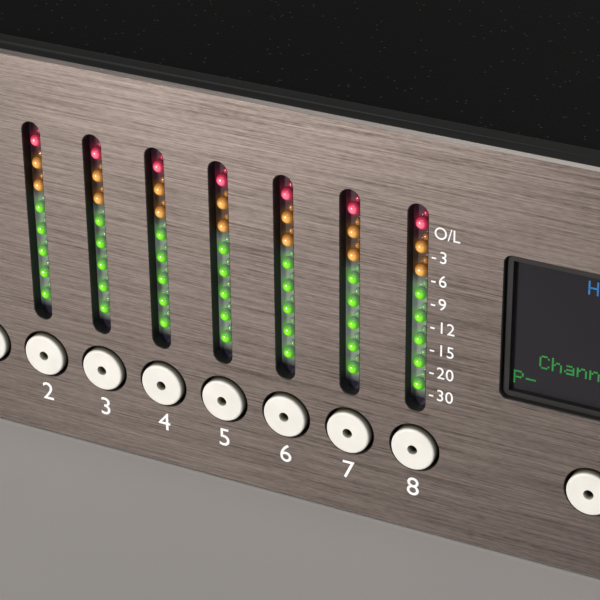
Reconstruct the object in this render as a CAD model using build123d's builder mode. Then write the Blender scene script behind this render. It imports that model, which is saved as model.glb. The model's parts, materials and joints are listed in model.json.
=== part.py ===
"""Eight-channel audio interface for a 19-inch rack, one rack unit high.

Frame: +X to the right seen from the front, +Y from the front panel into the unit, +Z up.
The origin is the middle of the chassis' underside. All sizes are millimetres.
"""
from build123d import *
import math
import os

os.makedirs("parts", exist_ok=True)

# ---------------------------------------------------------------- driving dimensions
# Front panel, to the 19-inch rack standard
panel_width = 482.6
panel_height = 43.66
panel_thickness = 3.8
panel_corner_radius = 1.0
panel_edge_chamfer = 0.3
hole_edge_chamfer = 0.1
ring_nut_chamfer = 0.5
socket_mouth_chamfer = 0.3
contact_chamfer = 0.4
rack_slot_spacing_x = 465.1
rack_slot_spacing_z = 31.75
rack_slot_width = 6.8
rack_slot_length = 10.2

# Chassis
chassis_width = 438.0
chassis_depth = 260.0
sheet = 1.2
rear_sheet = 1.5
cover_drop = 0.3
cover_bend_radius = 0.96
tray_wall_height = 14.0
tray_lip_height = 9.0
rear_flange_depth = 12.0
vent_count = 14
vent_pitch = 7.0
vent_width = 3.0
vent_height = 18.0
vent_middle_y = 30.0

# Level meters: eight columns of eight lamps behind slots
channel_count = 8
channel_pitch = 7.0
last_channel_x = -20.0
lamp_count = 8
lamp_pitch = 2.5
top_lamp_z = 34.05
lamp_radius = 0.65
lamp_height = 1.05
lamp_rounding = 0.5
meter_slot_width = 2.0
slot_above_lamps = 2.36
slot_below_lamps = 2.56
meter_lip = 1.3
meter_board_margin_x = 4.2
meter_board_margin_z = 1.0
small_board = 1.6

# Push buttons
button_row_z = 9.77
button_hole_radius = 2.6
button_cap_radius = 2.3
button_stand = 0.5
button_eye_radius = 0.52
button_eye_depth = 1.5
button_flange_radius = 3.1
button_travel = 0.4
button_rounding = 0.22
function_button_offset = 18.2
function_button_pitch = 10.3
power_button_x = 195.0
power_hole_radius = 5.0
power_cap_radius = 4.6
power_stand = 1.2
power_eye_radius = 1.0
power_flange_radius = 5.6
power_travel = 0.8
power_rounding = 0.4
switch_size = 6.0
switch_height = 4.0
power_switch_size = 9.0
stem_radius = 1.2
flange_thickness = 0.8

# Display
display_left_offset = 8.7
display_width = 29.3
display_height = 15.27
display_top_z = 33.12
display_corner_radius = 0.8
display_lip = 0.8
display_frame_border = 1.2
display_frame_depth = 2.0
display_bezel_depth = 0.5
display_bezel_gap = 0.12
display_rim = 0.69
display_glass_depth = 1.1
display_glass_border = 0.4

# Control board behind the front panel
control_gap = 8.0
control_board_bottom_z = 5.0
control_board_top_z = 39.0
control_board_margin = 9.0
power_board_width = 14.0
opening_margin = 1.0
post_radius = 2.2
post_inset = 3.6
header_width = 20.0
header_height = 2.5

# Rotary encoder and knob
encoder_x = 62.0
bush_radius = 3.5
bush_stand = 4.0
encoder_size = 13.0
encoder_depth = 8.0
encoder_front_wall = 3.0
encoder_rear_wall = 1.0
shaft_radius = 3.0
shaft_stand = 13.0
plunger_radius = 3.9
plunger_thickness = 1.0
plunger_pin_radius = 1.5
plunger_pin_stand = 0.5
plunger_cavity_radius = 4.5
plunger_travel = 0.5
knob_radius = 11.0
knob_length = 15.0
knob_rest_gap = 0.7
knob_skirt_radius = 8.0
knob_skirt_depth = 5.0
knob_rounding = 0.9
knob_dish_radius = 8.6
knob_dish_depth = 0.5
flute_count = 48
flute_radius = 0.5
flute_depth = 0.28
flute_front_margin = 3.0
encoder_nut_radius = 5.6
encoder_nut_thickness = 2.0

# Jack sockets of 6.35 mm: two instrument inputs and one headphone output
jack_x = (-192.0, -164.0, 120.0)
jack_bush_radius = 5.6
jack_bore_radius = 3.25
jack_bush_stand = 2.5
jack_body_size = 18.0
jack_body_depth = 26.0
jack_bore_depth = 30.0
jack_nut_radius = 8.0
jack_nut_thickness = 2.0

# Boards inside
board_thickness = 1.6
board_socket_gap = 0.43
main_board_left = -98.0
main_board_right = 210.0
main_board_front = -100.0
main_board_rear_gap = 4.0
supply_board_left = -208.0
supply_board_right = -106.0
supply_board_front = -18.0
supply_board_rear = 98.0
board_post_radius = 3.0
board_hole_inset = 6.0

# Circuits on the boards
relay_width = 7.4
relay_length = 14.8
relay_height = 9.6
relay_rows_y = (84.0, 64.0)
chip_width = 6.0
chip_length = 8.6
chip_height = 1.75
chip_rows_y = (42.0, 24.0, 6.0)
signal_capacitor_radius = 4.0
signal_capacitor_height = 11.0
signal_capacitor_y = -12.0
processor_size = 23.0
processor_height = 1.5
processor_places = ((-60.0, -40.0), (-60.0, 10.0), (20.0, -60.0))
supply_capacitor_radius = 9.0
supply_capacitor_height = 26.0
supply_capacitor_pitch = 22.0
supply_capacitor_y = 10.0

# Toroidal mains transformer
toroid_x = -157.0
toroid_y = -62.0
toroid_radius = 35.0
toroid_hole_radius = 12.0
toroid_height = 30.0
toroid_rounding = 6.0
dish_radius = 20.0
dish_thickness = 1.5
dish_bolt_radius = 3.0
dish_bolt_head_radius = 5.5
dish_bolt_head_height = 3.0

# Ribbon cable from the control board to the main board
ribbon_x = -50.0
ribbon_width = 32.0
ribbon_thickness = 1.0
ribbon_top_z = 26.0
ribbon_header_length = 38.0
ribbon_header_width = 8.0
ribbon_header_height = 7.0
ribbon_main_y = -88.0
ribbon_bend_radius = 6.0

# Rear panel: eight XLR inputs
xlr_pitch = 27.0
first_xlr_x = -4.0
xlr_flange_width = 26.0
xlr_flange_height = 31.0
xlr_flange_thickness = 2.0
xlr_corner_radius = 2.0
xlr_barrel_radius = 11.8
xlr_barrel_depth = 20.0
xlr_bore_radius = 9.7
xlr_bore_depth = 16.0
xlr_insert_radius = 7.7
xlr_insert_recess = 1.0
xlr_contact_radius = 1.25
xlr_contact_circle = 4.7
xlr_contact_depth = 12.0
xlr_screw_x = 9.5
xlr_screw_z = 12.0
latch_width = 8.0
latch_height = 3.2
latch_length = 8.0
latch_stand = 3.0
latch_offset = 12.5
latch_travel = 2.0
latch_rounding = 0.8

# Rear panel: two 25-way multipin sockets, one above the other
multipin_x = -55.0
multipin_levels = (16.0, 31.0)
multipin_flange_width = 53.0
multipin_flange_height = 12.5
multipin_flange_thickness = 1.0
multipin_shell_width = 38.4
multipin_shell_height = 8.2
multipin_shell_taper = 1.4
multipin_shell_stand = 5.8
multipin_body_width = 44.0
multipin_body_height = 10.6
multipin_body_depth = 9.0
multipin_contact_pitch = 2.77
multipin_row_pitch = 2.84
multipin_contact_radius = 0.55
multipin_contact_depth = 5.0
multipin_long_row = 13
jackscrew_spacing = 47.0
jackscrew_radius = 2.7
jackscrew_length = 5.0
jackscrew_hole_radius = 1.3

# Rear panel: two clock sockets of the BNC kind
clock_x = -92.0
clock_levels = (15.5, 31.0)
clock_flange_radius = 7.0
clock_flange_thickness = 2.0
clock_barrel_radius = 4.8
clock_barrel_stand = 12.0
clock_bore_radius = 4.1
clock_bore_depth = 8.5
clock_core_radius = 2.0
clock_contact_radius = 0.7
clock_lug_radius = 0.95
clock_lug_stand = 1.1
clock_lug_inset = 3.0
clock_tail_depth = 8.0

# Rear panel: two network sockets in one housing, and a USB socket of type B
network_x = -111.0
network_width = 16.4
network_height = 26.8
network_depth = 21.0
network_stand = 0.6
network_mouth_width = 11.8
network_mouth_height = 6.9
network_mouth_depth = 13.0
network_notch_width = 6.2
network_notch_height = 1.8
network_mouth_levels = (6.6, 19.8)
usb_x = -129.0
usb_width = 12.0
usb_height = 11.0
usb_depth = 16.0
usb_mouth_width = 8.6
usb_mouth_height = 7.9
usb_mouth_depth = 9.5
usb_mouth_corner = 1.6
usb_tongue_width = 5.6
usb_tongue_height = 3.2
usb_tongue_length = 8.0

# Rear panel: mains inlet and mains switch
inlet_x = -187.0
inlet_flange_width = 50.0
inlet_flange_height = 22.6
inlet_flange_thickness = 3.0
inlet_corner_radius = 3.0
inlet_body_width = 27.4
inlet_body_height = 19.8
inlet_body_depth = 20.0
inlet_mouth_width = 24.4
inlet_mouth_height = 16.6
inlet_mouth_depth = 17.5
inlet_mouth_corner = 4.2
inlet_screw_spacing = 40.0
pin_width = 2.0
pin_height = 4.0
pin_length = 12.0
pin_tail = 8.0
pin_spread = 7.0
pin_side_z = -1.4
pin_middle_z = 2.6
rocker_x = -148.0
rocker_bezel_width = 15.0
rocker_bezel_height = 21.0
rocker_bezel_thickness = 1.8
rocker_body_depth = 16.0
rocker_body_wall = 1.1
rocker_mouth_width = 11.0
rocker_mouth_height = 17.2
rocker_mouth_depth = 9.0
rocker_half_height = 8.0
rocker_back_half_height = 6.4
rocker_end_stand = 3.4
rocker_middle_stand = 1.9
rocker_back = 3.6
rocker_tilt = 9.0
rocker_pivot_inset = 0.6

# Screws
screw_radius = 1.5
pan_head_radius = 2.7
pan_head_height = 1.7
pan_head_rounding = 0.7
drive_radius = 1.3
drive_depth = 1.0
flat_head_radius = 2.7
cover_screw_y = (-105.0, -35.0, 35.0, 105.0)
cover_screw_z = 8.0
cover_rear_screw_x = (-150.0, 0.0, 150.0)
panel_screw_x = (-208.0, -105.0, 88.0, 208.0)
panel_screw_edge = 6.8
panel_screw_bite = 2.6
rear_screw_x = (-213.0, -120.0, -22.75, 208.0)
rear_screw_z = 5.0

# Clearances
screw_clearance = 0.05
fit_clearance = 0.1
skirt_gap = 0.1
board_gap = 0.3
rest_gap = 0.1
shaft_clearance = 0.08
turning_gap = 0.05
latch_clearance = 0.3
rocker_side_gap = 0.4

# ---------------------------------------------------------------- places worked out from them
panel_back_y = -chassis_depth / 2
front_y = panel_back_y - panel_thickness
rear_y = chassis_depth / 2
rear_inner_y = rear_y - rear_sheet
sub_back_y = panel_back_y + sheet
middle_z = panel_height / 2
cover_top_z = panel_height - cover_drop
cover_under_z = cover_top_z - sheet
tray_width = chassis_width - 2 * (sheet + skirt_gap)

first_channel_x = last_channel_x - (channel_count - 1) * channel_pitch
channel_x = [first_channel_x + i * channel_pitch for i in range(channel_count)]
lamp_z = [top_lamp_z - i * lamp_pitch for i in range(lamp_count)]
slot_length = slot_above_lamps + (lamp_count - 1) * lamp_pitch + slot_below_lamps
slot_middle_z = top_lamp_z + slot_above_lamps - slot_length / 2
meter_board_width = (channel_count - 1) * channel_pitch + 2 * meter_board_margin_x
meter_board_height = slot_length + 2 * meter_board_margin_z
meter_middle_x = (channel_x[0] + channel_x[-1]) / 2
meter_board_front_y = front_y + meter_lip
meter_board_back_y = meter_board_front_y + small_board

display_x = last_channel_x + display_left_offset + display_width / 2
display_z = display_top_z - display_height / 2
frame_width = display_width + 2 * display_frame_border
frame_height = display_height + 2 * display_frame_border
display_frame_y = front_y + display_lip
display_frame_back_y = display_frame_y + display_frame_depth
display_bezel_y = front_y + display_bezel_depth
window_width = display_width - 2 * display_rim
window_height = display_height - 2 * display_rim
glass_recess_width = window_width + 2 * display_glass_border
glass_recess_height = window_height + 2 * display_glass_border
display_glass_y = front_y + display_glass_depth
first_function_x = last_channel_x + function_button_offset
function_button_x = [first_function_x, first_function_x + function_button_pitch]

control_front_y = panel_back_y + control_gap
control_back_y = control_front_y + small_board
control_left = channel_x[0] - control_board_margin
control_right = display_x + display_width / 2 + control_board_margin
control_x = (control_left + control_right) / 2
control_width = control_right - control_left
control_height = control_board_top_z - control_board_bottom_z
control_z = (control_board_top_z + control_board_bottom_z) / 2
control_post_places = [
    (x, z)
    for x in (control_left + post_inset, control_right - post_inset)
    for z in (control_board_bottom_z + post_inset, control_board_top_z - post_inset)
]
power_post_places = [
    (power_button_x, control_board_bottom_z + post_inset),
    (power_button_x, control_board_top_z - post_inset),
]
panel_post_places = control_post_places + power_post_places
panel_screw_z = (panel_screw_edge, panel_height - panel_screw_edge)
panel_screw_places = [(x, z) for x in panel_screw_x for z in panel_screw_z]

socket_underside_z = min(
    middle_z - xlr_barrel_radius,
    multipin_levels[0] - multipin_body_height / 2,
    clock_levels[0] - clock_barrel_radius,
)
board_top_z = socket_underside_z - board_socket_gap
board_level = board_top_z - board_thickness
main_board_rear = rear_inner_y - main_board_rear_gap
rear_top_places = [(x, rear_inner_y - rear_flange_depth / 2) for x in cover_rear_screw_x]
shank_hole_radius = screw_radius + screw_clearance
xlr_x = [first_xlr_x + i * xlr_pitch for i in range(channel_count)]
xlr_face_y = rear_y + xlr_flange_thickness
multipin_screw_x = (multipin_x - jackscrew_spacing / 2, multipin_x + jackscrew_spacing / 2)
xlr_places = [(x, middle_z) for x in xlr_x]
latch_places = [(x, middle_z + latch_offset) for x in xlr_x]
xlr_screw_places = [(x + s * xlr_screw_x, middle_z + s * xlr_screw_z) for x in xlr_x for s in (-1, 1)]
multipin_places = [(multipin_x, z) for z in multipin_levels]
jackscrew_places = [(x, z) for x in multipin_screw_x for z in multipin_levels]
clock_places = [(clock_x, z) for z in clock_levels]
network_z = board_top_z + network_height / 2
usb_z = board_top_z + usb_height / 2


def corners_of(left, right, front, rear, inset):
    """Places of the four corner holes of a board."""
    return [(x, y) for x in (left + inset, right - inset) for y in (front + inset, rear - inset)]


main_board_holes = corners_of(
    main_board_left, main_board_right, main_board_front, main_board_rear, board_hole_inset
)
supply_board_holes = corners_of(
    supply_board_left, supply_board_right, supply_board_front, supply_board_rear, board_hole_inset
)
board_holes = main_board_holes + supply_board_holes


# ---------------------------------------------------------------- shared helpers
def upright(y):
    """Upright plane at depth y: local x and y are +X and +Z, and it extrudes towards the front."""
    return Plane(origin=(0, y, 0), x_dir=(1, 0, 0), z_dir=(0, -1, 0))


def from_rear(y):
    """Upright plane seen from behind: local x is -X, and it extrudes away from the rear panel."""
    return Plane(origin=(0, y, 0), x_dir=(-1, 0, 0), z_dir=(0, 1, 0))


def mirrored(places):
    """The same places for a plane seen from behind."""
    return [(-x, z) for x, z in places]


def side_plane(x, side):
    """Plane on a side wall: it extrudes outwards, with local y upwards."""
    return Plane(origin=(x, 0, 0), x_dir=(0, side, 0), z_dir=(side, 0, 0))


def save(builder, label):
    """Name a finished piece and write it."""
    builder.part.label = label
    export_step(builder.part, f"parts/{label}.step")


def pan_screws(seat, places, length):
    """Pan-head screws whose heads stand on the seat plane and whose shanks go below it."""
    with BuildPart() as screws:
        with BuildSketch(seat):
            with Locations(*places):
                Circle(pan_head_radius)
        extrude(amount=pan_head_height)
        fillet(screws.edges().group_by(Axis(seat.origin, seat.z_dir))[-1], pan_head_rounding)
        with BuildSketch(seat):
            with Locations(*places):
                Circle(screw_radius)
        extrude(amount=-length)
        with BuildSketch(seat.offset(pan_head_height)):
            with Locations(*places):
                RegularPolygon(drive_radius, 6)
        extrude(amount=-drive_depth, mode=Mode.SUBTRACT)
    return screws.part


def flat_screws(seat, places, length):
    """Countersunk screws whose heads are flush with the seat plane."""
    with BuildPart() as screws:
        with BuildSketch(seat):
            with Locations(*places):
                Circle(screw_radius)
        extrude(amount=-length)
        with Locations(seat.offset(-sheet / 2)):
            with Locations(*places):
                Cone(screw_radius, flat_head_radius, sheet)
        with BuildSketch(seat):
            with Locations(*places):
                RegularPolygon(drive_radius, 6)
        extrude(amount=-drive_depth, mode=Mode.SUBTRACT)
    return screws.part


def d_outline(width, height, taper, radius):
    """The D-shaped outline of a multipin socket, wider at the top."""
    with BuildSketch() as outline:
        with BuildLine():
            Polyline(
                (-width / 2, height / 2),
                (width / 2, height / 2),
                (width / 2 - taper, -height / 2),
                (-width / 2 + taper, -height / 2),
                close=True,
            )
        make_face()
        fillet(outline.vertices(), radius)
    return outline.sketch


# ---------------------------------------------------------------- front panel
with BuildPart() as front_panel:
    with BuildSketch(upright(panel_back_y)):
        with Locations((0, middle_z)):
            RectangleRounded(panel_width, panel_height, panel_corner_radius)
    extrude(amount=panel_thickness)
    chamfer(front_panel.faces().sort_by(Axis.Y)[0].edges(), panel_edge_chamfer)
    chamfer(front_panel.faces().sort_by(Axis.Y)[-1].edges(), panel_edge_chamfer)
    with BuildSketch(upright(front_y)):
        with Locations(*[(x, slot_middle_z) for x in channel_x]):
            SlotOverall(slot_length, meter_slot_width, rotation=90)
        with Locations(*[(x, button_row_z) for x in channel_x + function_button_x]):
            Circle(button_hole_radius)
        with Locations((display_x, display_z)):
            RectangleRounded(display_width, display_height, display_corner_radius)
        with Locations((power_button_x, middle_z)):
            Circle(power_hole_radius)
        with Locations((encoder_x, middle_z)):
            Circle(bush_radius + fit_clearance)
        with Locations(*[(x, middle_z) for x in jack_x]):
            Circle(jack_bush_radius + fit_clearance)
        with Locations((0, middle_z)):
            with GridLocations(rack_slot_spacing_x, rack_slot_spacing_z, 2, 2):
                SlotOverall(rack_slot_length, rack_slot_width)
    extrude(amount=-panel_thickness, mode=Mode.SUBTRACT)
    chamfer(front_panel.faces().sort_by(Axis.Y)[0].inner_wires().edges(), hole_edge_chamfer)
    # The pocket behind the meters, and the one that takes the display's frame
    with BuildSketch(upright(panel_back_y)):
        with Locations((meter_middle_x, slot_middle_z)):
            Rectangle(meter_board_width + 2 * board_gap, meter_board_height + 2 * board_gap)
    extrude(amount=panel_thickness - meter_lip, mode=Mode.SUBTRACT)
    with BuildSketch(upright(panel_back_y)):
        with Locations((display_x, display_z)):
            Rectangle(frame_width + 2 * board_gap, frame_height + 2 * board_gap)
    extrude(amount=panel_thickness - display_lip, mode=Mode.SUBTRACT)
    # Tapped blind holes for the screws that hold the panel from inside
    with BuildSketch(upright(panel_back_y)):
        with Locations(*panel_screw_places):
            Circle(shank_hole_radius)
    extrude(amount=panel_screw_bite, mode=Mode.SUBTRACT)
save(front_panel, "front_panel")

# ---------------------------------------------------------------- chassis
with BuildPart() as chassis_tray:
    with BuildSketch(Plane.XY):
        with Locations((0, (panel_back_y + rear_inner_y) / 2)):
            Rectangle(tray_width, rear_inner_y - panel_back_y)
    extrude(amount=sheet)
    with BuildSketch(Plane.XY):
        with Locations((0, (panel_back_y + rear_inner_y) / 2)):
            with GridLocations(tray_width - sheet, 1, 2, 1):
                Rectangle(sheet, rear_inner_y - panel_back_y)
    extrude(amount=tray_wall_height)
    with BuildSketch(Plane.XY):
        with Locations((0, panel_back_y + sheet / 2)):
            Rectangle(tray_width, sheet)
    extrude(amount=cover_under_z)
    with BuildSketch(Plane.XY):
        with Locations((0, rear_inner_y - sheet / 2)):
            Rectangle(tray_width, sheet)
    extrude(amount=tray_lip_height)
    # Openings of the front wall
    with BuildSketch(upright(panel_back_y)):
        with Locations((control_x, control_z)):
            Rectangle(control_width + 2 * opening_margin, control_height + 2 * opening_margin)
        with Locations((power_button_x, control_z)):
            Rectangle(power_board_width + 2 * opening_margin, control_height + 2 * opening_margin)
        with Locations((encoder_x, middle_z)):
            Circle(bush_radius + fit_clearance)
        with Locations(*[(x, middle_z) for x in jack_x]):
            Circle(jack_bush_radius + fit_clearance)
        with Locations(*panel_screw_places):
            Circle(shank_hole_radius)
    extrude(amount=-sheet, mode=Mode.SUBTRACT)
    # Tapped holes of the rear lip and of the side walls
    with BuildSketch(upright(rear_inner_y)):
        with Locations(*[(x, rear_screw_z) for x in rear_screw_x]):
            Circle(shank_hole_radius)
    extrude(amount=sheet, mode=Mode.SUBTRACT)
    with BuildSketch(Plane.YZ.offset(-tray_width / 2)):
        with Locations(*[(y, cover_screw_z) for y in cover_screw_y]):
            Circle(shank_hole_radius)
    extrude(amount=tray_width, mode=Mode.SUBTRACT)
    # Hole for the transformer's bolt
    with BuildSketch(Plane.XY):
        with Locations((toroid_x, toroid_y)):
            Circle(dish_bolt_radius + screw_clearance)
    extrude(amount=sheet, mode=Mode.SUBTRACT)
save(chassis_tray, "chassis_tray")

with BuildPart() as rear_panel:
    with BuildSketch(upright(rear_y)):
        with Locations((0, cover_under_z / 2)):
            Rectangle(tray_width, cover_under_z)
    extrude(amount=rear_sheet)
    with BuildSketch(Plane.XY.offset(cover_under_z)):
        with Locations((0, rear_inner_y - rear_flange_depth / 2)):
            Rectangle(tray_width, rear_flange_depth)
    extrude(amount=-rear_sheet)
    with BuildSketch(upright(rear_y)):
        with Locations(*xlr_places):
            Circle(xlr_barrel_radius + fit_clearance)
        with Locations(*latch_places):
            Rectangle(latch_width + 2 * latch_clearance, latch_height + 2 * latch_clearance)
        with Locations(*xlr_screw_places):
            Circle(shank_hole_radius)
        with Locations(*multipin_places):
            Rectangle(multipin_body_width + 2 * fit_clearance, multipin_body_height + 2 * fit_clearance)
        with Locations(*jackscrew_places):
            Circle(shank_hole_radius)
        with Locations(*clock_places):
            Circle(clock_barrel_radius + fit_clearance)
        with Locations((network_x, network_z)):
            Rectangle(network_width + 2 * fit_clearance, network_height + 2 * fit_clearance)
        with Locations((usb_x, usb_z)):
            Rectangle(usb_width + 2 * fit_clearance, usb_height + 2 * fit_clearance)
        with Locations((inlet_x, middle_z)):
            Rectangle(inlet_body_width + 2 * fit_clearance, inlet_body_height + 2 * fit_clearance)
            with GridLocations(inlet_screw_spacing, 1, 2, 1):
                Circle(shank_hole_radius)
        with Locations((rocker_x, middle_z)):
            Rectangle(
                rocker_mouth_width + 2 * (rocker_body_wall + fit_clearance),
                rocker_mouth_height + 2 * (rocker_body_wall + fit_clearance),
            )
        with Locations(*[(x, rear_screw_z) for x in rear_screw_x]):
            Circle(shank_hole_radius)
    extrude(amount=rear_sheet, mode=Mode.SUBTRACT)
    with BuildSketch(Plane.XY.offset(cover_under_z)):
        with Locations(*rear_top_places):
            Circle(shank_hole_radius)
    extrude(amount=-rear_sheet, mode=Mode.SUBTRACT)
save(rear_panel, "rear_panel")

head_hole_radius = flat_head_radius + screw_clearance

with BuildPart() as top_cover:
    with BuildSketch(Plane.XY.offset(cover_under_z)):
        Rectangle(chassis_width, chassis_depth)
    extrude(amount=sheet)
    with BuildSketch(Plane.XY.offset(cover_under_z)):
        with GridLocations(chassis_width - sheet, 1, 2, 1):
            Rectangle(sheet, chassis_depth)
    extrude(amount=-(cover_under_z - skirt_gap))
    fillet(top_cover.edges().filter_by(Axis.Y).group_by(Axis.Z)[-1], cover_bend_radius)
    with Locations(Plane.XY.offset(cover_top_z)):
        with Locations(*rear_top_places):
            CounterSinkHole(shank_hole_radius, head_hole_radius, 2 * sheet)
    for side in (-1, 1):
        with Locations(side_plane(side * chassis_width / 2, side)):
            with Locations(*[(y, cover_screw_z) for y in cover_screw_y]):
                CounterSinkHole(shank_hole_radius, head_hole_radius, 2 * sheet)
    # Ventilation slots in both skirts
    with BuildSketch(Plane.YZ.offset(-chassis_width / 2)):
        with Locations((vent_middle_y, (cover_under_z + tray_wall_height) / 2)):
            with GridLocations(vent_pitch, 1, vent_count, 1):
                SlotOverall(vent_height, vent_width, rotation=90)
    extrude(amount=chassis_width, mode=Mode.SUBTRACT)
save(top_cover, "top_cover")

side_screw_length = sheet + skirt_gap + sheet
with BuildPart() as cover_screws:
    add(flat_screws(Plane.XY.offset(cover_top_z), rear_top_places, sheet + rear_sheet))
    for side in (-1, 1):
        seat = side_plane(side * chassis_width / 2, side)
        add(flat_screws(seat, [(y * side, cover_screw_z) for y in cover_screw_y], side_screw_length))
save(cover_screws, "cover_screws")

with BuildPart() as panel_screws:
    panel_screw_length = sheet + panel_screw_bite - rest_gap
    add(pan_screws(from_rear(sub_back_y), mirrored(panel_screw_places), panel_screw_length))
save(panel_screws, "panel_screws")

# ---------------------------------------------------------------- level meters
def meter_lamps(levels):
    """Domed lamps of one colour, on every channel's column."""
    with BuildPart() as lamps:
        with BuildSketch(upright(meter_board_front_y)):
            with Locations(*[(x, z) for x in channel_x for z in levels]):
                Circle(lamp_radius)
        extrude(amount=lamp_height)
        fillet(lamps.edges().group_by(Axis.Y)[0], lamp_rounding)
    return lamps


save(meter_lamps(lamp_z[:1]), "meter_lamps_red")
save(meter_lamps(lamp_z[1:3]), "meter_lamps_amber")
save(meter_lamps(lamp_z[3:]), "meter_lamps_green")


# ---------------------------------------------------------------- push buttons
switch_front_y = control_front_y - switch_height
stem_end_y = switch_front_y + stem_radius
button_places = [(x, button_row_z) for x in channel_x + function_button_x]


def push_button(x, z, cap_radius, stand, eye_radius, flange_radius, rounding):
    """A cap with a small eye in its face, a flange behind the panel and a stem into its switch."""
    flange_front_y = panel_back_y + rest_gap
    flange_back_y = flange_front_y + flange_thickness
    with BuildPart() as button:
        with BuildSketch(upright(flange_back_y)):
            with Locations((x, z)):
                Circle(flange_radius)
        extrude(amount=flange_thickness)
        with BuildSketch(upright(flange_front_y)):
            with Locations((x, z)):
                Circle(cap_radius)
        extrude(amount=rest_gap + panel_thickness + stand)
        fillet(button.edges().group_by(Axis.Y)[0], rounding)
        with BuildSketch(upright(front_y - stand)):
            with Locations((x, z)):
                Circle(eye_radius)
        extrude(amount=-button_eye_depth, mode=Mode.SUBTRACT)
        with BuildSketch(upright(flange_back_y)):
            with Locations((x, z)):
                Circle(stem_radius)
        extrude(amount=flange_back_y - stem_end_y)
    return button


for number, x in enumerate(channel_x, start=1):
    save(
        push_button(
            x,
            button_row_z,
            button_cap_radius,
            button_stand,
            button_eye_radius,
            button_flange_radius,
            button_rounding,
        ),
        f"channel_button_{number}",
    )

for number, x in enumerate(function_button_x, start=1):
    save(
        push_button(
            x,
            button_row_z,
            button_cap_radius,
            button_stand,
            button_eye_radius,
            button_flange_radius,
            button_rounding,
        ),
        f"function_button_{number}",
    )

save(
    push_button(
        power_button_x,
        middle_z,
        power_cap_radius,
        power_stand,
        power_eye_radius,
        power_flange_radius,
        power_rounding,
    ),
    "power_button",
)

with BuildPart() as key_switches:
    with BuildSketch(upright(control_front_y)):
        with Locations(*button_places):
            Rectangle(switch_size, switch_size)
        with Locations((power_button_x, middle_z)):
            Rectangle(power_switch_size, power_switch_size)
    extrude(amount=switch_height)
    with BuildSketch(upright(switch_front_y)):
        with Locations(*button_places):
            Circle(stem_radius + board_gap)
    extrude(amount=-(stem_end_y - switch_front_y + button_travel + rest_gap), mode=Mode.SUBTRACT)
    with BuildSketch(upright(switch_front_y)):
        with Locations((power_button_x, middle_z)):
            Circle(stem_radius + board_gap)
    extrude(amount=-(stem_end_y - switch_front_y + power_travel + rest_gap), mode=Mode.SUBTRACT)
save(key_switches, "key_switches")

# ---------------------------------------------------------------- display
with BuildPart() as display_frame:
    with BuildSketch(upright(display_frame_back_y)):
        with Locations((display_x, display_z)):
            Rectangle(frame_width, frame_height)
    extrude(amount=display_frame_depth)
    # The bezel stands through the panel's cut-out, almost up to its face
    with BuildSketch(upright(display_frame_y)):
        with Locations((display_x, display_z)):
            RectangleRounded(
                display_width - 2 * display_bezel_gap,
                display_height - 2 * display_bezel_gap,
                display_corner_radius - display_bezel_gap,
            )
    extrude(amount=display_frame_y - display_bezel_y)
    # The window, and the recess that holds the glass from behind
    with BuildSketch(upright(display_bezel_y)):
        with Locations((display_x, display_z)):
            Rectangle(window_width, window_height)
    extrude(amount=display_bezel_y - display_frame_back_y, mode=Mode.SUBTRACT)
    with BuildSketch(upright(display_frame_back_y)):
        with Locations((display_x, display_z)):
            Rectangle(glass_recess_width, glass_recess_height)
    extrude(amount=display_frame_back_y - display_glass_y, mode=Mode.SUBTRACT)
save(display_frame, "display_frame")

with BuildPart() as display_glass:
    with BuildSketch(upright(display_frame_back_y)):
        with Locations((display_x, display_z)):
            Rectangle(glass_recess_width - 2 * screw_clearance, glass_recess_height - 2 * screw_clearance)
    extrude(amount=display_frame_back_y - display_glass_y)
save(display_glass, "display_glass")

with BuildPart() as display_module:
    with BuildSketch(upright(display_frame_back_y)):
        with Locations((display_x, display_z)):
            Rectangle(frame_width, frame_height)
    extrude(amount=-small_board)
save(display_module, "display_module")
display_module_back_y = display_frame_back_y + small_board

# ---------------------------------------------------------------- boards behind the front panel
with BuildPart() as front_boards:
    # The board in the meters' pocket
    with BuildSketch(upright(meter_board_back_y)):
        with Locations((meter_middle_x, slot_middle_z)):
            Rectangle(meter_board_width, meter_board_height)
    extrude(amount=small_board)
    # The control board and the small board of the power button
    with BuildSketch(upright(control_back_y)):
        with Locations((control_x, control_z)):
            Rectangle(control_width, control_height)
        with Locations((power_button_x, control_z)):
            Rectangle(power_board_width, control_height)
        with Locations(*panel_post_places):
            Circle(shank_hole_radius, mode=Mode.SUBTRACT)
    extrude(amount=small_board)
save(front_boards, "front_boards")

with BuildPart() as board_headers:
    # Two strips that carry the meter board and one that carries the display
    with BuildSketch(upright(control_front_y)):
        with Locations((channel_x[1], slot_middle_z), (channel_x[-2], slot_middle_z)):
            Rectangle(header_height, header_width)
    extrude(amount=control_front_y - meter_board_back_y)
    with BuildSketch(upright(control_front_y)):
        with Locations((display_x, display_z)):
            Rectangle(header_width, header_height)
    extrude(amount=control_front_y - display_module_back_y)
    # The two shrouds of the ribbon cable
    with BuildSketch(upright(control_back_y + ribbon_header_height)):
        with Locations((ribbon_x, ribbon_top_z)):
            Rectangle(ribbon_header_length, ribbon_header_width)
    extrude(amount=ribbon_header_height)
    with BuildSketch(Plane.XY.offset(board_top_z)):
        with Locations((ribbon_x, ribbon_main_y)):
            Rectangle(ribbon_header_length, ribbon_header_width)
    extrude(amount=ribbon_header_height)
save(board_headers, "board_headers")

with BuildPart() as ribbon_cable:
    with BuildSketch(Plane.YZ.offset(ribbon_x - ribbon_width / 2)):
        with BuildLine():
            FilletPolyline(
                (control_back_y + ribbon_header_height, ribbon_top_z),
                (ribbon_main_y, ribbon_top_z),
                (ribbon_main_y, board_top_z + ribbon_header_height),
                radius=ribbon_bend_radius,
            )
        trace(line_width=ribbon_thickness)
    extrude(amount=ribbon_width)
save(ribbon_cable, "ribbon_cable")

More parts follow.
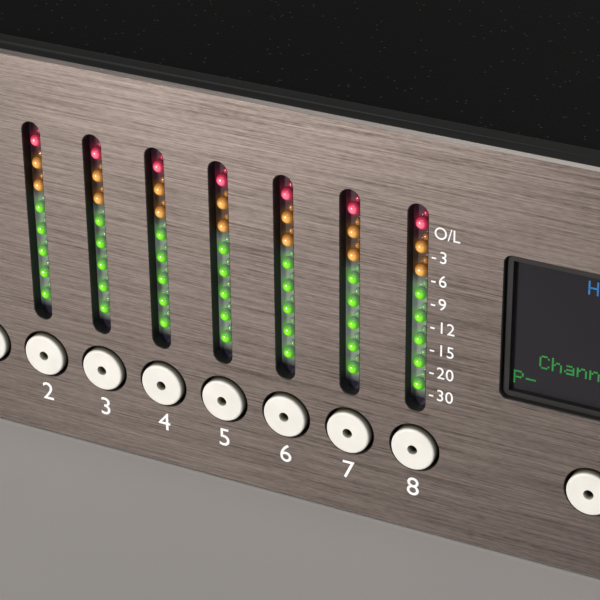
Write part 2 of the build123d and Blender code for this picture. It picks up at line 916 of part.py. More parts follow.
# ---------------------------------------------------------------- rotary encoder
bush_front_y = front_y - bush_stand
encoder_back_y = sub_back_y + encoder_depth
cavity_front_y = sub_back_y + encoder_front_wall
cavity_back_y = encoder_back_y - encoder_rear_wall
shaft_end_y = cavity_front_y + plunger_thickness
plunger_front_y = shaft_end_y + turning_gap
knob_back_y = front_y - plunger_travel - knob_rest_gap
knob_front_y = knob_back_y - knob_length

with BuildPart() as encoder_body:
    with BuildSketch(upright(encoder_back_y)):
        with Locations((encoder_x, middle_z)):
            Rectangle(encoder_size, encoder_size)
    extrude(amount=encoder_depth)
    with BuildSketch(upright(sub_back_y)):
        with Locations((encoder_x, middle_z)):
            Circle(bush_radius)
    extrude(amount=sub_back_y - bush_front_y)
    with BuildSketch(upright(cavity_back_y)):
        with Locations((encoder_x, middle_z)):
            Circle(shaft_radius + shaft_clearance)
    extrude(amount=cavity_back_y - bush_front_y, mode=Mode.SUBTRACT)
    with BuildSketch(upright(cavity_back_y)):
        with Locations((encoder_x, middle_z)):
            Circle(plunger_cavity_radius)
    extrude(amount=cavity_back_y - cavity_front_y, mode=Mode.SUBTRACT)
    with BuildSketch(upright(encoder_back_y)):
        with Locations((encoder_x, middle_z)):
            Circle(plunger_pin_radius + shaft_clearance)
    extrude(amount=encoder_rear_wall, mode=Mode.SUBTRACT)
save(encoder_body, "encoder_body")

with BuildPart() as encoder_plunger:
    with BuildSketch(upright(plunger_front_y + plunger_thickness)):
        with Locations((encoder_x, middle_z)):
            Circle(plunger_radius)
    extrude(amount=plunger_thickness)
    with BuildSketch(upright(encoder_back_y + plunger_pin_stand)):
        with Locations((encoder_x, middle_z)):
            Circle(plunger_pin_radius)
    extrude(amount=encoder_back_y + plunger_pin_stand - plunger_front_y - plunger_thickness)
save(encoder_plunger, "encoder_plunger")

with BuildPart() as encoder_shaft:
    with BuildSketch(upright(shaft_end_y)):
        with Locations((encoder_x, middle_z)):
            Circle(shaft_radius)
    extrude(amount=shaft_end_y - front_y + shaft_stand)
save(encoder_shaft, "encoder_shaft")

with BuildPart() as encoder_knob:
    with BuildSketch(upright(knob_back_y)):
        with Locations((encoder_x, middle_z)):
            Circle(knob_radius)
    extrude(amount=knob_length)
    fillet(encoder_knob.edges().group_by(Axis.Y)[0], knob_rounding)
    with BuildSketch(upright(knob_back_y)):
        with Locations((encoder_x, middle_z)):
            Circle(shaft_radius + screw_clearance)
    extrude(amount=knob_back_y - front_y + shaft_stand, mode=Mode.SUBTRACT)
    with BuildSketch(upright(knob_back_y)):
        with Locations((encoder_x, middle_z)):
            Circle(knob_skirt_radius)
    extrude(amount=knob_skirt_depth, mode=Mode.SUBTRACT)
    with BuildSketch(upright(knob_front_y)):
        with Locations((encoder_x, middle_z)):
            Circle(knob_dish_radius)
    extrude(amount=-knob_dish_depth, mode=Mode.SUBTRACT)
    with BuildSketch(upright(knob_back_y)):
        with Locations((encoder_x, middle_z)):
            with PolarLocations(knob_radius + flute_radius - flute_depth, flute_count):
                Circle(flute_radius)
    extrude(amount=knob_length - flute_front_margin, mode=Mode.SUBTRACT)
save(encoder_knob, "encoder_knob")

with BuildPart() as panel_nuts:
    with BuildSketch(upright(front_y)):
        with Locations((encoder_x, middle_z)):
            RegularPolygon(encoder_nut_radius, 6)
            Circle(bush_radius + screw_clearance, mode=Mode.SUBTRACT)
    extrude(amount=encoder_nut_thickness)
    with BuildSketch(upright(front_y)):
        with Locations(*[(x, middle_z) for x in jack_x]):
            Circle(jack_nut_radius)
            Circle(jack_bush_radius + screw_clearance, mode=Mode.SUBTRACT)
    extrude(amount=jack_nut_thickness)
    ring_edges = panel_nuts.edges().filter_by(GeomType.CIRCLE)
    rims = ring_edges.filter_by(lambda edge: abs(edge.radius - jack_nut_radius) < screw_clearance)
    chamfer(rims.group_by(Axis.Y)[0], ring_nut_chamfer)
save(panel_nuts, "panel_nuts")

# ---------------------------------------------------------------- jack sockets
with BuildPart() as jack_sockets:
    with BuildSketch(upright(sub_back_y + jack_body_depth)):
        with Locations(*[(x, middle_z) for x in jack_x]):
            Rectangle(jack_body_size, jack_body_size)
    extrude(amount=jack_body_depth)
    with BuildSketch(upright(sub_back_y)):
        with Locations(*[(x, middle_z) for x in jack_x]):
            Circle(jack_bush_radius)
    extrude(amount=sub_back_y - front_y + jack_bush_stand)
    chamfer(jack_sockets.edges().group_by(Axis.Y)[0], socket_mouth_chamfer)
    with BuildSketch(upright(front_y - jack_bush_stand)):
        with Locations(*[(x, middle_z) for x in jack_x]):
            Circle(jack_bore_radius)
    extrude(amount=-jack_bore_depth, mode=Mode.SUBTRACT)
save(jack_sockets, "jack_sockets")

# ---------------------------------------------------------------- boards inside
with BuildPart() as main_board:
    with BuildSketch(Plane.XY.offset(board_level)):
        with Locations(((main_board_left + main_board_right) / 2, (main_board_front + main_board_rear) / 2)):
            Rectangle(main_board_right - main_board_left, main_board_rear - main_board_front)
        with Locations(*main_board_holes):
            Circle(shank_hole_radius, mode=Mode.SUBTRACT)
    extrude(amount=board_thickness)
save(main_board, "main_board")

with BuildPart() as power_supply_board:
    with BuildSketch(Plane.XY.offset(board_level)):
        with Locations(
            ((supply_board_left + supply_board_right) / 2, (supply_board_front + supply_board_rear) / 2)
        ):
            Rectangle(supply_board_right - supply_board_left, supply_board_rear - supply_board_front)
        with Locations(*supply_board_holes):
            Circle(shank_hole_radius, mode=Mode.SUBTRACT)
    extrude(amount=board_thickness)
save(power_supply_board, "power_supply_board")

with BuildPart() as board_pillars:
    with BuildSketch(Plane.XY.offset(sheet)):
        with Locations(*board_holes):
            RegularPolygon(board_post_radius, 6)
    extrude(amount=board_level - sheet)
    with BuildSketch(Plane.XY.offset(board_level)):
        with Locations(*board_holes):
            Circle(shank_hole_radius)
    extrude(amount=-(board_level - sheet), mode=Mode.SUBTRACT)
    with BuildSketch(upright(control_front_y)):
        with Locations(*panel_post_places):
            Circle(post_radius)
            Circle(shank_hole_radius, mode=Mode.SUBTRACT)
    extrude(amount=control_gap)
save(board_pillars, "board_pillars")

with BuildPart() as board_screws:
    add(pan_screws(Plane.XY.offset(board_top_z), board_holes, board_thickness + board_level - 2 * sheet))
    post_screw_length = small_board + control_gap - sheet
    add(pan_screws(from_rear(control_back_y), mirrored(panel_post_places), post_screw_length))
save(board_screws, "board_screws")

with BuildPart() as preamp_relays:
    with BuildSketch(Plane.XY.offset(board_top_z)):
        with Locations(*[(x, y) for x in xlr_x for y in relay_rows_y]):
            Rectangle(relay_width, relay_length)
    extrude(amount=relay_height)
save(preamp_relays, "preamp_relays")

with BuildPart() as circuit_chips:
    with BuildSketch(Plane.XY.offset(board_top_z)):
        with Locations(*[(x, y) for x in xlr_x for y in chip_rows_y]):
            Rectangle(chip_length, chip_width)
    extrude(amount=chip_height)
    with BuildSketch(Plane.XY.offset(board_top_z)):
        with Locations(*processor_places):
            Rectangle(processor_size, processor_size)
    extrude(amount=processor_height)
save(circuit_chips, "circuit_chips")

supply_middle_x = (supply_board_left + supply_board_right) / 2
with BuildPart() as capacitors:
    with BuildSketch(Plane.XY.offset(board_top_z)):
        with Locations(*[(x, signal_capacitor_y) for x in xlr_x]):
            Circle(signal_capacitor_radius)
    extrude(amount=signal_capacitor_height)
    with BuildSketch(Plane.XY.offset(board_top_z)):
        with Locations((supply_middle_x, supply_capacitor_y)):
            with GridLocations(supply_capacitor_pitch, supply_capacitor_pitch, 2, 2):
                Circle(supply_capacitor_radius)
    extrude(amount=supply_capacitor_height)
save(capacitors, "capacitors")

# ---------------------------------------------------------------- mains transformer
with BuildPart() as mains_transformer:
    with BuildSketch(Plane.XY.offset(sheet)):
        with Locations((toroid_x, toroid_y)):
            Circle(toroid_radius)
            Circle(toroid_hole_radius, mode=Mode.SUBTRACT)
    extrude(amount=toroid_height)
    fillet(mains_transformer.edges().filter_by(GeomType.CIRCLE), toroid_rounding)
save(mains_transformer, "mains_transformer")

dish_level = sheet + toroid_height
with BuildPart() as transformer_clamp:
    with BuildSketch(Plane.XY.offset(dish_level)):
        with Locations((toroid_x, toroid_y)):
            Circle(dish_radius)
    extrude(amount=dish_thickness)
    with BuildSketch(Plane.XY.offset(sheet / 2)):
        with Locations((toroid_x, toroid_y)):
            Circle(dish_bolt_radius)
    extrude(amount=dish_level - sheet / 2)
    with BuildSketch(Plane.XY.offset(dish_level + dish_thickness)):
        with Locations((toroid_x, toroid_y)):
            RegularPolygon(dish_bolt_head_radius, 6)
    extrude(amount=dish_bolt_head_height)
save(transformer_clamp, "transformer_clamp")

# ---------------------------------------------------------------- XLR inputs
with BuildPart() as xlr_shells:
    with BuildSketch(upright(xlr_face_y)):
        with Locations(*xlr_places):
            RectangleRounded(xlr_flange_width, xlr_flange_height, xlr_corner_radius)
    extrude(amount=xlr_flange_thickness)
    chamfer(xlr_shells.faces().group_by(Axis.Y)[-1].edges(), panel_edge_chamfer)
    with BuildSketch(upright(rear_y)):
        with Locations(*xlr_places):
            Circle(xlr_barrel_radius)
    extrude(amount=xlr_barrel_depth)
    with BuildSketch(upright(xlr_face_y)):
        with Locations(*xlr_places):
            Circle(xlr_bore_radius)
    extrude(amount=xlr_bore_depth, mode=Mode.SUBTRACT)
    with BuildSketch(upright(xlr_face_y)):
        with Locations(*latch_places):
            Rectangle(latch_width + 2 * latch_clearance, latch_height + 2 * latch_clearance)
    extrude(amount=latch_length + latch_travel, mode=Mode.SUBTRACT)
    with BuildSketch(upright(xlr_face_y)):
        with Locations(*xlr_screw_places):
            Circle(shank_hole_radius)
    extrude(amount=xlr_flange_thickness, mode=Mode.SUBTRACT)
save(xlr_shells, "xlr_shells")

with BuildPart() as xlr_inserts:
    with BuildSketch(upright(xlr_face_y - xlr_insert_recess)):
        with Locations(*xlr_places):
            Circle(xlr_insert_radius)
    extrude(amount=xlr_bore_depth - xlr_insert_recess)
    with BuildSketch(upright(xlr_face_y - xlr_insert_recess)):
        with Locations(*xlr_places):
            with PolarLocations(xlr_contact_circle, 3, start_angle=-90):
                Circle(xlr_contact_radius)
    extrude(amount=xlr_contact_depth, mode=Mode.SUBTRACT)
save(xlr_inserts, "xlr_inserts")

for number, x in enumerate(xlr_x, start=1):
    with BuildPart() as xlr_latch:
        with BuildSketch(upright(xlr_face_y + latch_stand)):
            with Locations((x, middle_z + latch_offset)):
                Rectangle(latch_width, latch_height)
        extrude(amount=latch_length)
        fillet(xlr_latch.faces().sort_by(Axis.Y)[-1].edges(), latch_rounding)
    save(xlr_latch, f"xlr_latch_{number}")

# ---------------------------------------------------------------- multipin sockets
contact_places = [
    (multipin_x + (i - (count - 1) / 2) * multipin_contact_pitch, z + row * multipin_row_pitch / 2)
    for z in multipin_levels
    for row, count in ((1, multipin_long_row), (-1, multipin_long_row - 1))
    for i in range(count)
]
multipin_face_y = rear_y + multipin_flange_thickness + multipin_shell_stand

multipin_outline = d_outline(
    multipin_shell_width, multipin_shell_height, multipin_shell_taper, xlr_corner_radius
)

with BuildPart() as multipin_sockets:
    with BuildSketch(upright(rear_y + multipin_flange_thickness)):
        with Locations(*multipin_places):
            RectangleRounded(multipin_flange_width, multipin_flange_height, xlr_corner_radius)
        with Locations(*jackscrew_places):
            Circle(shank_hole_radius, mode=Mode.SUBTRACT)
    extrude(amount=multipin_flange_thickness)
    with BuildSketch(upright(rear_y)):
        with Locations(*multipin_places):
            Rectangle(multipin_body_width, multipin_body_height)
    extrude(amount=multipin_body_depth)
    with BuildSketch(upright(multipin_face_y)):
        with Locations(*multipin_places):
            add(multipin_outline)
    extrude(amount=multipin_shell_stand)
    with BuildSketch(upright(multipin_face_y)):
        with Locations(*contact_places):
            Circle(multipin_contact_radius)
    extrude(amount=multipin_contact_depth, mode=Mode.SUBTRACT)
save(multipin_sockets, "multipin_sockets")

# ---------------------------------------------------------------- clock sockets
clock_face_y = rear_y + clock_flange_thickness + clock_barrel_stand

with BuildPart() as clock_sockets:
    with BuildSketch(upright(rear_y + clock_flange_thickness)):
        with Locations(*clock_places):
            RegularPolygon(clock_flange_radius, 6)
    extrude(amount=clock_flange_thickness)
    with BuildSketch(upright(clock_face_y)):
        with Locations(*clock_places):
            Circle(clock_barrel_radius)
    extrude(amount=clock_face_y - rear_y + clock_tail_depth)
    # The ring nut inside the rear panel
    with BuildSketch(upright(rear_inner_y)):
        with Locations(*clock_places):
            RegularPolygon(clock_flange_radius, 6)
    extrude(amount=clock_flange_thickness)
    # Bayonet lugs on both sides of the barrel
    with BuildSketch(Plane.YZ.offset(clock_x - clock_barrel_radius - clock_lug_stand)):
        with Locations(*[(clock_face_y - clock_lug_inset, z) for z in clock_levels]):
            Circle(clock_lug_radius)
    extrude(amount=2 * (clock_barrel_radius + clock_lug_stand))
    with BuildSketch(upright(clock_face_y)):
        with Locations(*clock_places):
            Circle(clock_bore_radius)
            Circle(clock_core_radius, mode=Mode.SUBTRACT)
    extrude(amount=-clock_bore_depth, mode=Mode.SUBTRACT)
    with BuildSketch(upright(clock_face_y)):
        with Locations(*clock_places):
            Circle(clock_contact_radius)
    extrude(amount=-clock_bore_depth, mode=Mode.SUBTRACT)
save(clock_sockets, "clock_sockets")

# ---------------------------------------------------------------- network and USB sockets
network_face_y = rear_y + network_stand
network_mouth_z = [board_top_z + level for level in network_mouth_levels]
network_notch_drop = (network_mouth_height + network_notch_height) / 2

with BuildPart() as data_sockets:
    with BuildSketch(upright(network_face_y)):
        with Locations((network_x, network_z)):
            Rectangle(network_width, network_height)
    extrude(amount=network_depth)
    with BuildSketch(upright(network_face_y)):
        with Locations(*[(network_x, z) for z in network_mouth_z]):
            Rectangle(network_mouth_width, network_mouth_height)
        with Locations(*[(network_x, z - network_notch_drop) for z in network_mouth_z]):
            Rectangle(network_notch_width, network_notch_height)
    extrude(amount=network_mouth_depth, mode=Mode.SUBTRACT)
    with BuildSketch(upright(network_face_y)):
        with Locations((usb_x, usb_z)):
            Rectangle(usb_width, usb_height)
    extrude(amount=usb_depth)
    with BuildSketch(upright(network_face_y)) as usb_mouth:
        with Locations((usb_x, usb_z)):
            Rectangle(usb_mouth_width, usb_mouth_height)
        chamfer(usb_mouth.vertices().group_by(Axis.Y)[-1], usb_mouth_corner)
    extrude(amount=usb_mouth_depth, mode=Mode.SUBTRACT)
    with BuildSketch(upright(network_face_y - usb_mouth_depth + usb_tongue_length)):
        with Locations((usb_x, usb_z)):
            Rectangle(usb_tongue_width, usb_tongue_height)
    extrude(amount=usb_tongue_length)
save(data_sockets, "data_sockets")

# ---------------------------------------------------------------- mains inlet
inlet_face_y = rear_y + inlet_flange_thickness
inlet_floor_y = inlet_face_y - inlet_mouth_depth
pin_places = [
    (inlet_x - pin_spread, middle_z + pin_side_z),
    (inlet_x + pin_spread, middle_z + pin_side_z),
    (inlet_x, middle_z + pin_middle_z),
]

with BuildPart() as mains_inlet:
    with BuildSketch(upright(inlet_face_y)):
        with Locations((inlet_x, middle_z)):
            RectangleRounded(inlet_flange_width, inlet_flange_height, inlet_corner_radius)
    extrude(amount=inlet_flange_thickness)
    chamfer(mains_inlet.faces().sort_by(Axis.Y)[-1].edges(), panel_edge_chamfer)
    with BuildSketch(upright(rear_y)):
        with Locations((inlet_x, middle_z)):
            Rectangle(inlet_body_width, inlet_body_height)
    extrude(amount=inlet_body_depth)
    with BuildSketch(upright(inlet_face_y)) as inlet_mouth:
        with Locations((inlet_x, middle_z)):
            Rectangle(inlet_mouth_width, inlet_mouth_height)
        chamfer(inlet_mouth.vertices().group_by(Axis.Y)[-1], inlet_mouth_corner)
    extrude(amount=inlet_mouth_depth, mode=Mode.SUBTRACT)
    with BuildSketch(upright(inlet_face_y)):
        with Locations((inlet_x, middle_z)):
            with GridLocations(inlet_screw_spacing, 1, 2, 1):
                Circle(shank_hole_radius)
    extrude(amount=inlet_flange_thickness, mode=Mode.SUBTRACT)
    with BuildSketch(upright(inlet_floor_y)):
        with Locations(*pin_places):
            Rectangle(pin_width + 2 * screw_clearance, pin_height + 2 * screw_clearance)
    extrude(amount=inlet_body_depth, mode=Mode.SUBTRACT)
save(mains_inlet, "mains_inlet")

with BuildPart() as inlet_pins:
    with BuildSketch(upright(inlet_floor_y + pin_length)):
        with Locations(*pin_places):
            Rectangle(pin_width, pin_height)
    extrude(amount=pin_length + pin_tail)
    chamfer(inlet_pins.faces().group_by(Axis.Y)[-1].edges(), contact_chamfer)
save(inlet_pins, "inlet_pins")

# ---------------------------------------------------------------- mains switch
rocker_pivot_y = rear_y - rocker_pivot_inset
rocker_left = rocker_x - rocker_mouth_width / 2 + rocker_side_gap

with BuildPart() as mains_switch_frame:
    with BuildSketch(upright(rear_y + rocker_bezel_thickness)):
        with Locations((rocker_x, middle_z)):
            RectangleRounded(rocker_bezel_width, rocker_bezel_height, panel_corner_radius)
    extrude(amount=rocker_bezel_thickness)
    chamfer(mains_switch_frame.faces().sort_by(Axis.Y)[-1].edges(), panel_edge_chamfer)
    with BuildSketch(upright(rear_y)):
        with Locations((rocker_x, middle_z)):
            Rectangle(rocker_mouth_width + 2 * rocker_body_wall, rocker_mouth_height + 2 * rocker_body_wall)
    extrude(amount=rocker_body_depth)
    with BuildSketch(upright(rear_y + rocker_bezel_thickness)):
        with Locations((rocker_x, middle_z)):
            Rectangle(rocker_mouth_width, rocker_mouth_height)
    extrude(amount=rocker_bezel_thickness + rocker_mouth_depth, mode=Mode.SUBTRACT)
save(mains_switch_frame, "mains_switch_frame")

# The rocker at rest leans to its off side; local x is outwards and local y is upwards
lean = math.radians(rocker_tilt)
rocker_plane = Plane(
    origin=(rocker_left, rocker_pivot_y, middle_z),
    x_dir=(0, math.cos(lean), math.sin(lean)),
    z_dir=(1, 0, 0),
)
with BuildPart() as mains_rocker:
    with BuildSketch(rocker_plane) as rocker_section:
        with BuildLine():
            Polyline(
                (rocker_end_stand, rocker_half_height),
                (rocker_middle_stand, 0),
                (rocker_end_stand, -rocker_half_height),
                (-rocker_back, -rocker_back_half_height),
                (-rocker_back, rocker_back_half_height),
                close=True,
            )
        make_face()
    extrude(amount=rocker_mouth_width - 2 * rocker_side_gap)
    fillet(mains_rocker.edges().filter_by(Axis.X).group_by(Axis.Y)[-1], panel_edge_chamfer)
save(mains_rocker, "mains_rocker")

# ---------------------------------------------------------------- screws of the rear panel
with BuildPart() as rear_screws:
    rear_screw_places = [(x, rear_screw_z) for x in rear_screw_x]
    inlet_screw_places = [(inlet_x + s * inlet_screw_spacing / 2, middle_z) for s in (-1, 1)]
    add(pan_screws(from_rear(rear_y), mirrored(rear_screw_places), rear_sheet + sheet))
    add(pan_screws(from_rear(xlr_face_y), mirrored(xlr_screw_places), xlr_flange_thickness + rear_sheet))
    inlet_screw_length = inlet_flange_thickness + rear_sheet
    add(pan_screws(from_rear(inlet_face_y), mirrored(inlet_screw_places), inlet_screw_length))
    # Hexagonal jackscrews of the multipin sockets
    with BuildSketch(from_rear(rear_y + multipin_flange_thickness)):
        with Locations(*mirrored(jackscrew_places)):
            RegularPolygon(jackscrew_radius, 6)
    extrude(amount=jackscrew_length)
    with BuildSketch(from_rear(rear_y + multipin_flange_thickness)):
        with Locations(*mirrored(jackscrew_places)):
            Circle(screw_radius)
    extrude(amount=-(multipin_flange_thickness + rear_sheet))
    with BuildSketch(from_rear(rear_y + multipin_flange_thickness + jackscrew_length)):
        with Locations(*mirrored(jackscrew_places)):
            Circle(jackscrew_hole_radius)
    extrude(amount=-jackscrew_length, mode=Mode.SUBTRACT)
save(rear_screws, "rear_screws")
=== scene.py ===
"""Looks of the one-unit rack audio interface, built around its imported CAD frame."""
import json
import math

import bmesh
import bpy
from mathutils import Matrix, Vector

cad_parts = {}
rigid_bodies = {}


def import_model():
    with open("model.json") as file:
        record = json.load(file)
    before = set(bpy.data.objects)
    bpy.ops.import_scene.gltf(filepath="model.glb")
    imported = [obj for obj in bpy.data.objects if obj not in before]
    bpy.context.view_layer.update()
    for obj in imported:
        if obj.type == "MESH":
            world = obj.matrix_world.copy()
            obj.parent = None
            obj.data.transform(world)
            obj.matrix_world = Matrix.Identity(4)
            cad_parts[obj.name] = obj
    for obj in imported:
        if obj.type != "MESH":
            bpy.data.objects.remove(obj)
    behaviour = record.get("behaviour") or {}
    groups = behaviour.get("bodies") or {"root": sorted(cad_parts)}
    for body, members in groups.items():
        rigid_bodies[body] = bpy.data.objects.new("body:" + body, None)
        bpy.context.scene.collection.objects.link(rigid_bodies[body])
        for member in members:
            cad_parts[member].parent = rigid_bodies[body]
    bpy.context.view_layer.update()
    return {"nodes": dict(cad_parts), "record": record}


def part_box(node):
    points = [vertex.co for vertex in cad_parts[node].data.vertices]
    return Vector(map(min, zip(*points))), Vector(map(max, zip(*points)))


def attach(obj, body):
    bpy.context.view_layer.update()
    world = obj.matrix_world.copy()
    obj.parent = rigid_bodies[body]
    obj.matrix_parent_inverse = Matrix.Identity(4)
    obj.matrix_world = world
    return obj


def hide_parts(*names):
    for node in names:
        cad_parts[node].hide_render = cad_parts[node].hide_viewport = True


bl_info = {
    "name": "Rack audio interface",
    "version": (1, 0, 0),
    "blender": (4, 5, 0),
    "location": "3D View > Sidebar > Rack unit",
    "description": "Finishes, print, lamps, display and small parts of a one-unit rack audio interface",
    "category": "Object",
}

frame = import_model()
CHASSIS = "chassis"
CHANNELS = 8
LAMP_ROWS = {"red": 1, "amber": 2, "green": 5}
MULTIPIN_LEVEL_GAP = 0.015
XLR_CONTACT_CIRCLE = 0.0047
NETWORK_WIRES = 8
NETWORK_WIRE_PITCH = 0.00102
JACKS = 2
JACK_BODY = 0.018
JACK_SPACING = 0.028
PRINT_LIFT = 0.000012


def middle(node):
    """Centre of a CAD node's box."""
    low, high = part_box(node)
    return (low + high) / 2


PANEL_LOW, PANEL_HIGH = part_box("front_panel")
PANEL_FACE = PANEL_LOW.y
PANEL_EDGE = 0.00032
REAR_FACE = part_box("rear_panel")[1].y
CAP_PLACES = [middle(f"channel_button_{n}") for n in range(1, CHANNELS + 1)]
COLUMN_PITCH = CAP_PLACES[1].x - CAP_PLACES[0].x
RED_LOW, RED_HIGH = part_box("meter_lamps_red")
AMBER_LOW, AMBER_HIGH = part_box("meter_lamps_amber")
LAMP_BOARD_Y = RED_HIGH.y
LAMP_RADIUS = (RED_HIGH.z - RED_LOW.z) / 2
TOP_LAMP_Z = (RED_HIGH.z + RED_LOW.z) / 2
LAMP_PITCH = AMBER_HIGH.z - AMBER_LOW.z - 2 * LAMP_RADIUS
GLASS_LOW, GLASS_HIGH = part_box("display_glass")


# ---------------------------------------------------------------- settings
class PanelSettings(bpy.types.PropertyGroup):
    """The brushed front panel and what is printed on it."""

    metal_dark: bpy.props.FloatVectorProperty(
        name="Grain, dark", description="Colour of the deeper brush strokes", subtype="COLOR",
        default=(0.066, 0.055, 0.049), min=0, max=1,
    )
    metal_light: bpy.props.FloatVectorProperty(
        name="Grain, light", description="Colour of the raised brush strokes", subtype="COLOR",
        default=(0.28, 0.240, 0.221), min=0, max=1,
    )
    grain_length: bpy.props.FloatProperty(
        name="Grain length", description="Length of one brush stroke", unit="LENGTH", default=0.011,
    )
    grain_width: bpy.props.FloatProperty(
        name="Grain width", description="Width of one brush stroke", unit="LENGTH", default=0.00016,
    )
    numeral_height: bpy.props.FloatProperty(
        name="Numeral height", description="Height of the channel numbers", unit="LENGTH", default=0.00205,
    )
    scale_height: bpy.props.FloatProperty(
        name="Scale height", description="Height of the digits of the meter scale", unit="LENGTH",
        default=0.00125,
    )
    ink: bpy.props.FloatVectorProperty(
        name="Ink", description="Colour of the silk-screened print", subtype="COLOR",
        default=(0.80, 0.82, 0.84), min=0, max=1,
    )


class MeterSettings(bpy.types.PropertyGroup):
    """The lit lamps of the level meters."""

    dome_height: bpy.props.FloatProperty(
        name="Dome height", description="How far a lamp stands above its board", unit="LENGTH",
        default=0.0009,
    )
    red_rim: bpy.props.FloatVectorProperty(
        name="Red rim", description="Colour at the foot of the overload lamps", subtype="COLOR",
        default=(0.12, 0.012, 0.03), min=0, max=1,
    )
    red_body: bpy.props.FloatVectorProperty(
        name="Red body", description="Glow round the middle of the overload lamps", subtype="COLOR",
        default=(0.5, 0.028, 0.07), min=0, max=1,
    )
    red_core: bpy.props.FloatVectorProperty(
        name="Red core", description="Light in the middle of the overload lamps", subtype="COLOR",
        default=(0.92, 0.24, 0.34), min=0, max=1,
    )
    amber_rim: bpy.props.FloatVectorProperty(
        name="Amber rim", description="Colour at the foot of the warning lamps", subtype="COLOR",
        default=(0.14, 0.055, 0.014), min=0, max=1,
    )
    amber_body: bpy.props.FloatVectorProperty(
        name="Amber body", description="Glow round the middle of the warning lamps", subtype="COLOR",
        default=(0.4, 0.165, 0.028), min=0, max=1,
    )
    amber_core: bpy.props.FloatVectorProperty(
        name="Amber core", description="Light in the middle of the warning lamps", subtype="COLOR",
        default=(0.86, 0.5, 0.13), min=0, max=1,
    )
    green_rim: bpy.props.FloatVectorProperty(
        name="Green rim", description="Colour at the foot of the level lamps", subtype="COLOR",
        default=(0.11, 0.15, 0.12), min=0, max=1,
    )
    green_body: bpy.props.FloatVectorProperty(
        name="Green body", description="Glow round the middle of the level lamps", subtype="COLOR",
        default=(0.07, 0.33, 0.012), min=0, max=1,
    )
    green_core: bpy.props.FloatVectorProperty(
        name="Green core", description="Light in the middle of the level lamps", subtype="COLOR",
        default=(0.27, 0.9, 0.012), min=0, max=1,
    )
    strength: bpy.props.FloatProperty(
        name="Strength", description="Brightness of the lamps", default=1.0, min=0,
    )


class DisplaySettings(bpy.types.PropertyGroup):
    """The colour display and the characters that it shows."""

    dot_pitch: bpy.props.FloatProperty(
        name="Dot pitch", description="Distance between the dots of a character", unit="LENGTH",
        default=0.000206,
    )
    green: bpy.props.FloatVectorProperty(
        name="Green text", description="Colour of the status words", subtype="COLOR",
        default=(0.01, 0.33, 0.045), min=0, max=1,
    )
    blue: bpy.props.FloatVectorProperty(
        name="Blue text", description="Colour of the filter word", subtype="COLOR",
        default=(0.005, 0.22, 0.60), min=0, max=1,
    )


class StageSettings(bpy.types.PropertyGroup):
    """Camera and light."""

    azimuth: bpy.props.FloatProperty(
        name="Azimuth", description="Camera's turn round the unit", subtype="ANGLE",
        default=math.radians(26.49),
    )
    elevation: bpy.props.FloatProperty(
        name="Elevation", description="Camera's height above the horizon", subtype="ANGLE",
        default=math.radians(29.35),
    )
    roll: bpy.props.FloatProperty(
        name="Roll", description="Camera's turn about its own line of sight", subtype="ANGLE",
        default=math.radians(0.6),
    )
    distance: bpy.props.FloatProperty(
        name="Distance", description="From the camera to the point that it aims at", unit="LENGTH",
        default=0.231,
    )
    lens: bpy.props.FloatProperty(name="Lens", description="Focal length in millimetres", default=143.0)
    aim_left: bpy.props.FloatProperty(
        name="Aim left", description="How far left of the last meter the camera aims", unit="LENGTH",
        default=0.0123,
    )
    aim_below: bpy.props.FloatProperty(
        name="Aim below", description="How far below the top lamps the camera aims", unit="LENGTH",
        default=0.0107,
    )


# ---------------------------------------------------------------- shader helpers
class Value:
    """One socket of a finish, with the arithmetic that its sums need."""

    def __init__(self, finish, socket):
        self.finish = finish
        self.socket = socket

    def sum(self, operation, *terms):
        """A Math node on the given terms."""
        return self.finish.sum_of(operation, *terms)

    def __add__(self, other):
        return self.sum("ADD", self, other)

    def __radd__(self, other):
        return self.sum("ADD", other, self)

    def __sub__(self, other):
        return self.sum("SUBTRACT", self, other)

    def __rsub__(self, other):
        return self.sum("SUBTRACT", other, self)

    def __mul__(self, other):
        return self.sum("MULTIPLY", self, other)

    def __pow__(self, other):
        return self.sum("POWER", self, other)

    def __abs__(self):
        return self.sum("ABSOLUTE", self)

    def __gt__(self, other):
        return self.sum("GREATER_THAN", self, other)

    def __lt__(self, other):
        return self.sum("LESS_THAN", self, other)

    def either(self, other):
        """The larger of two masks."""
        return self.sum("MAXIMUM", self, other)


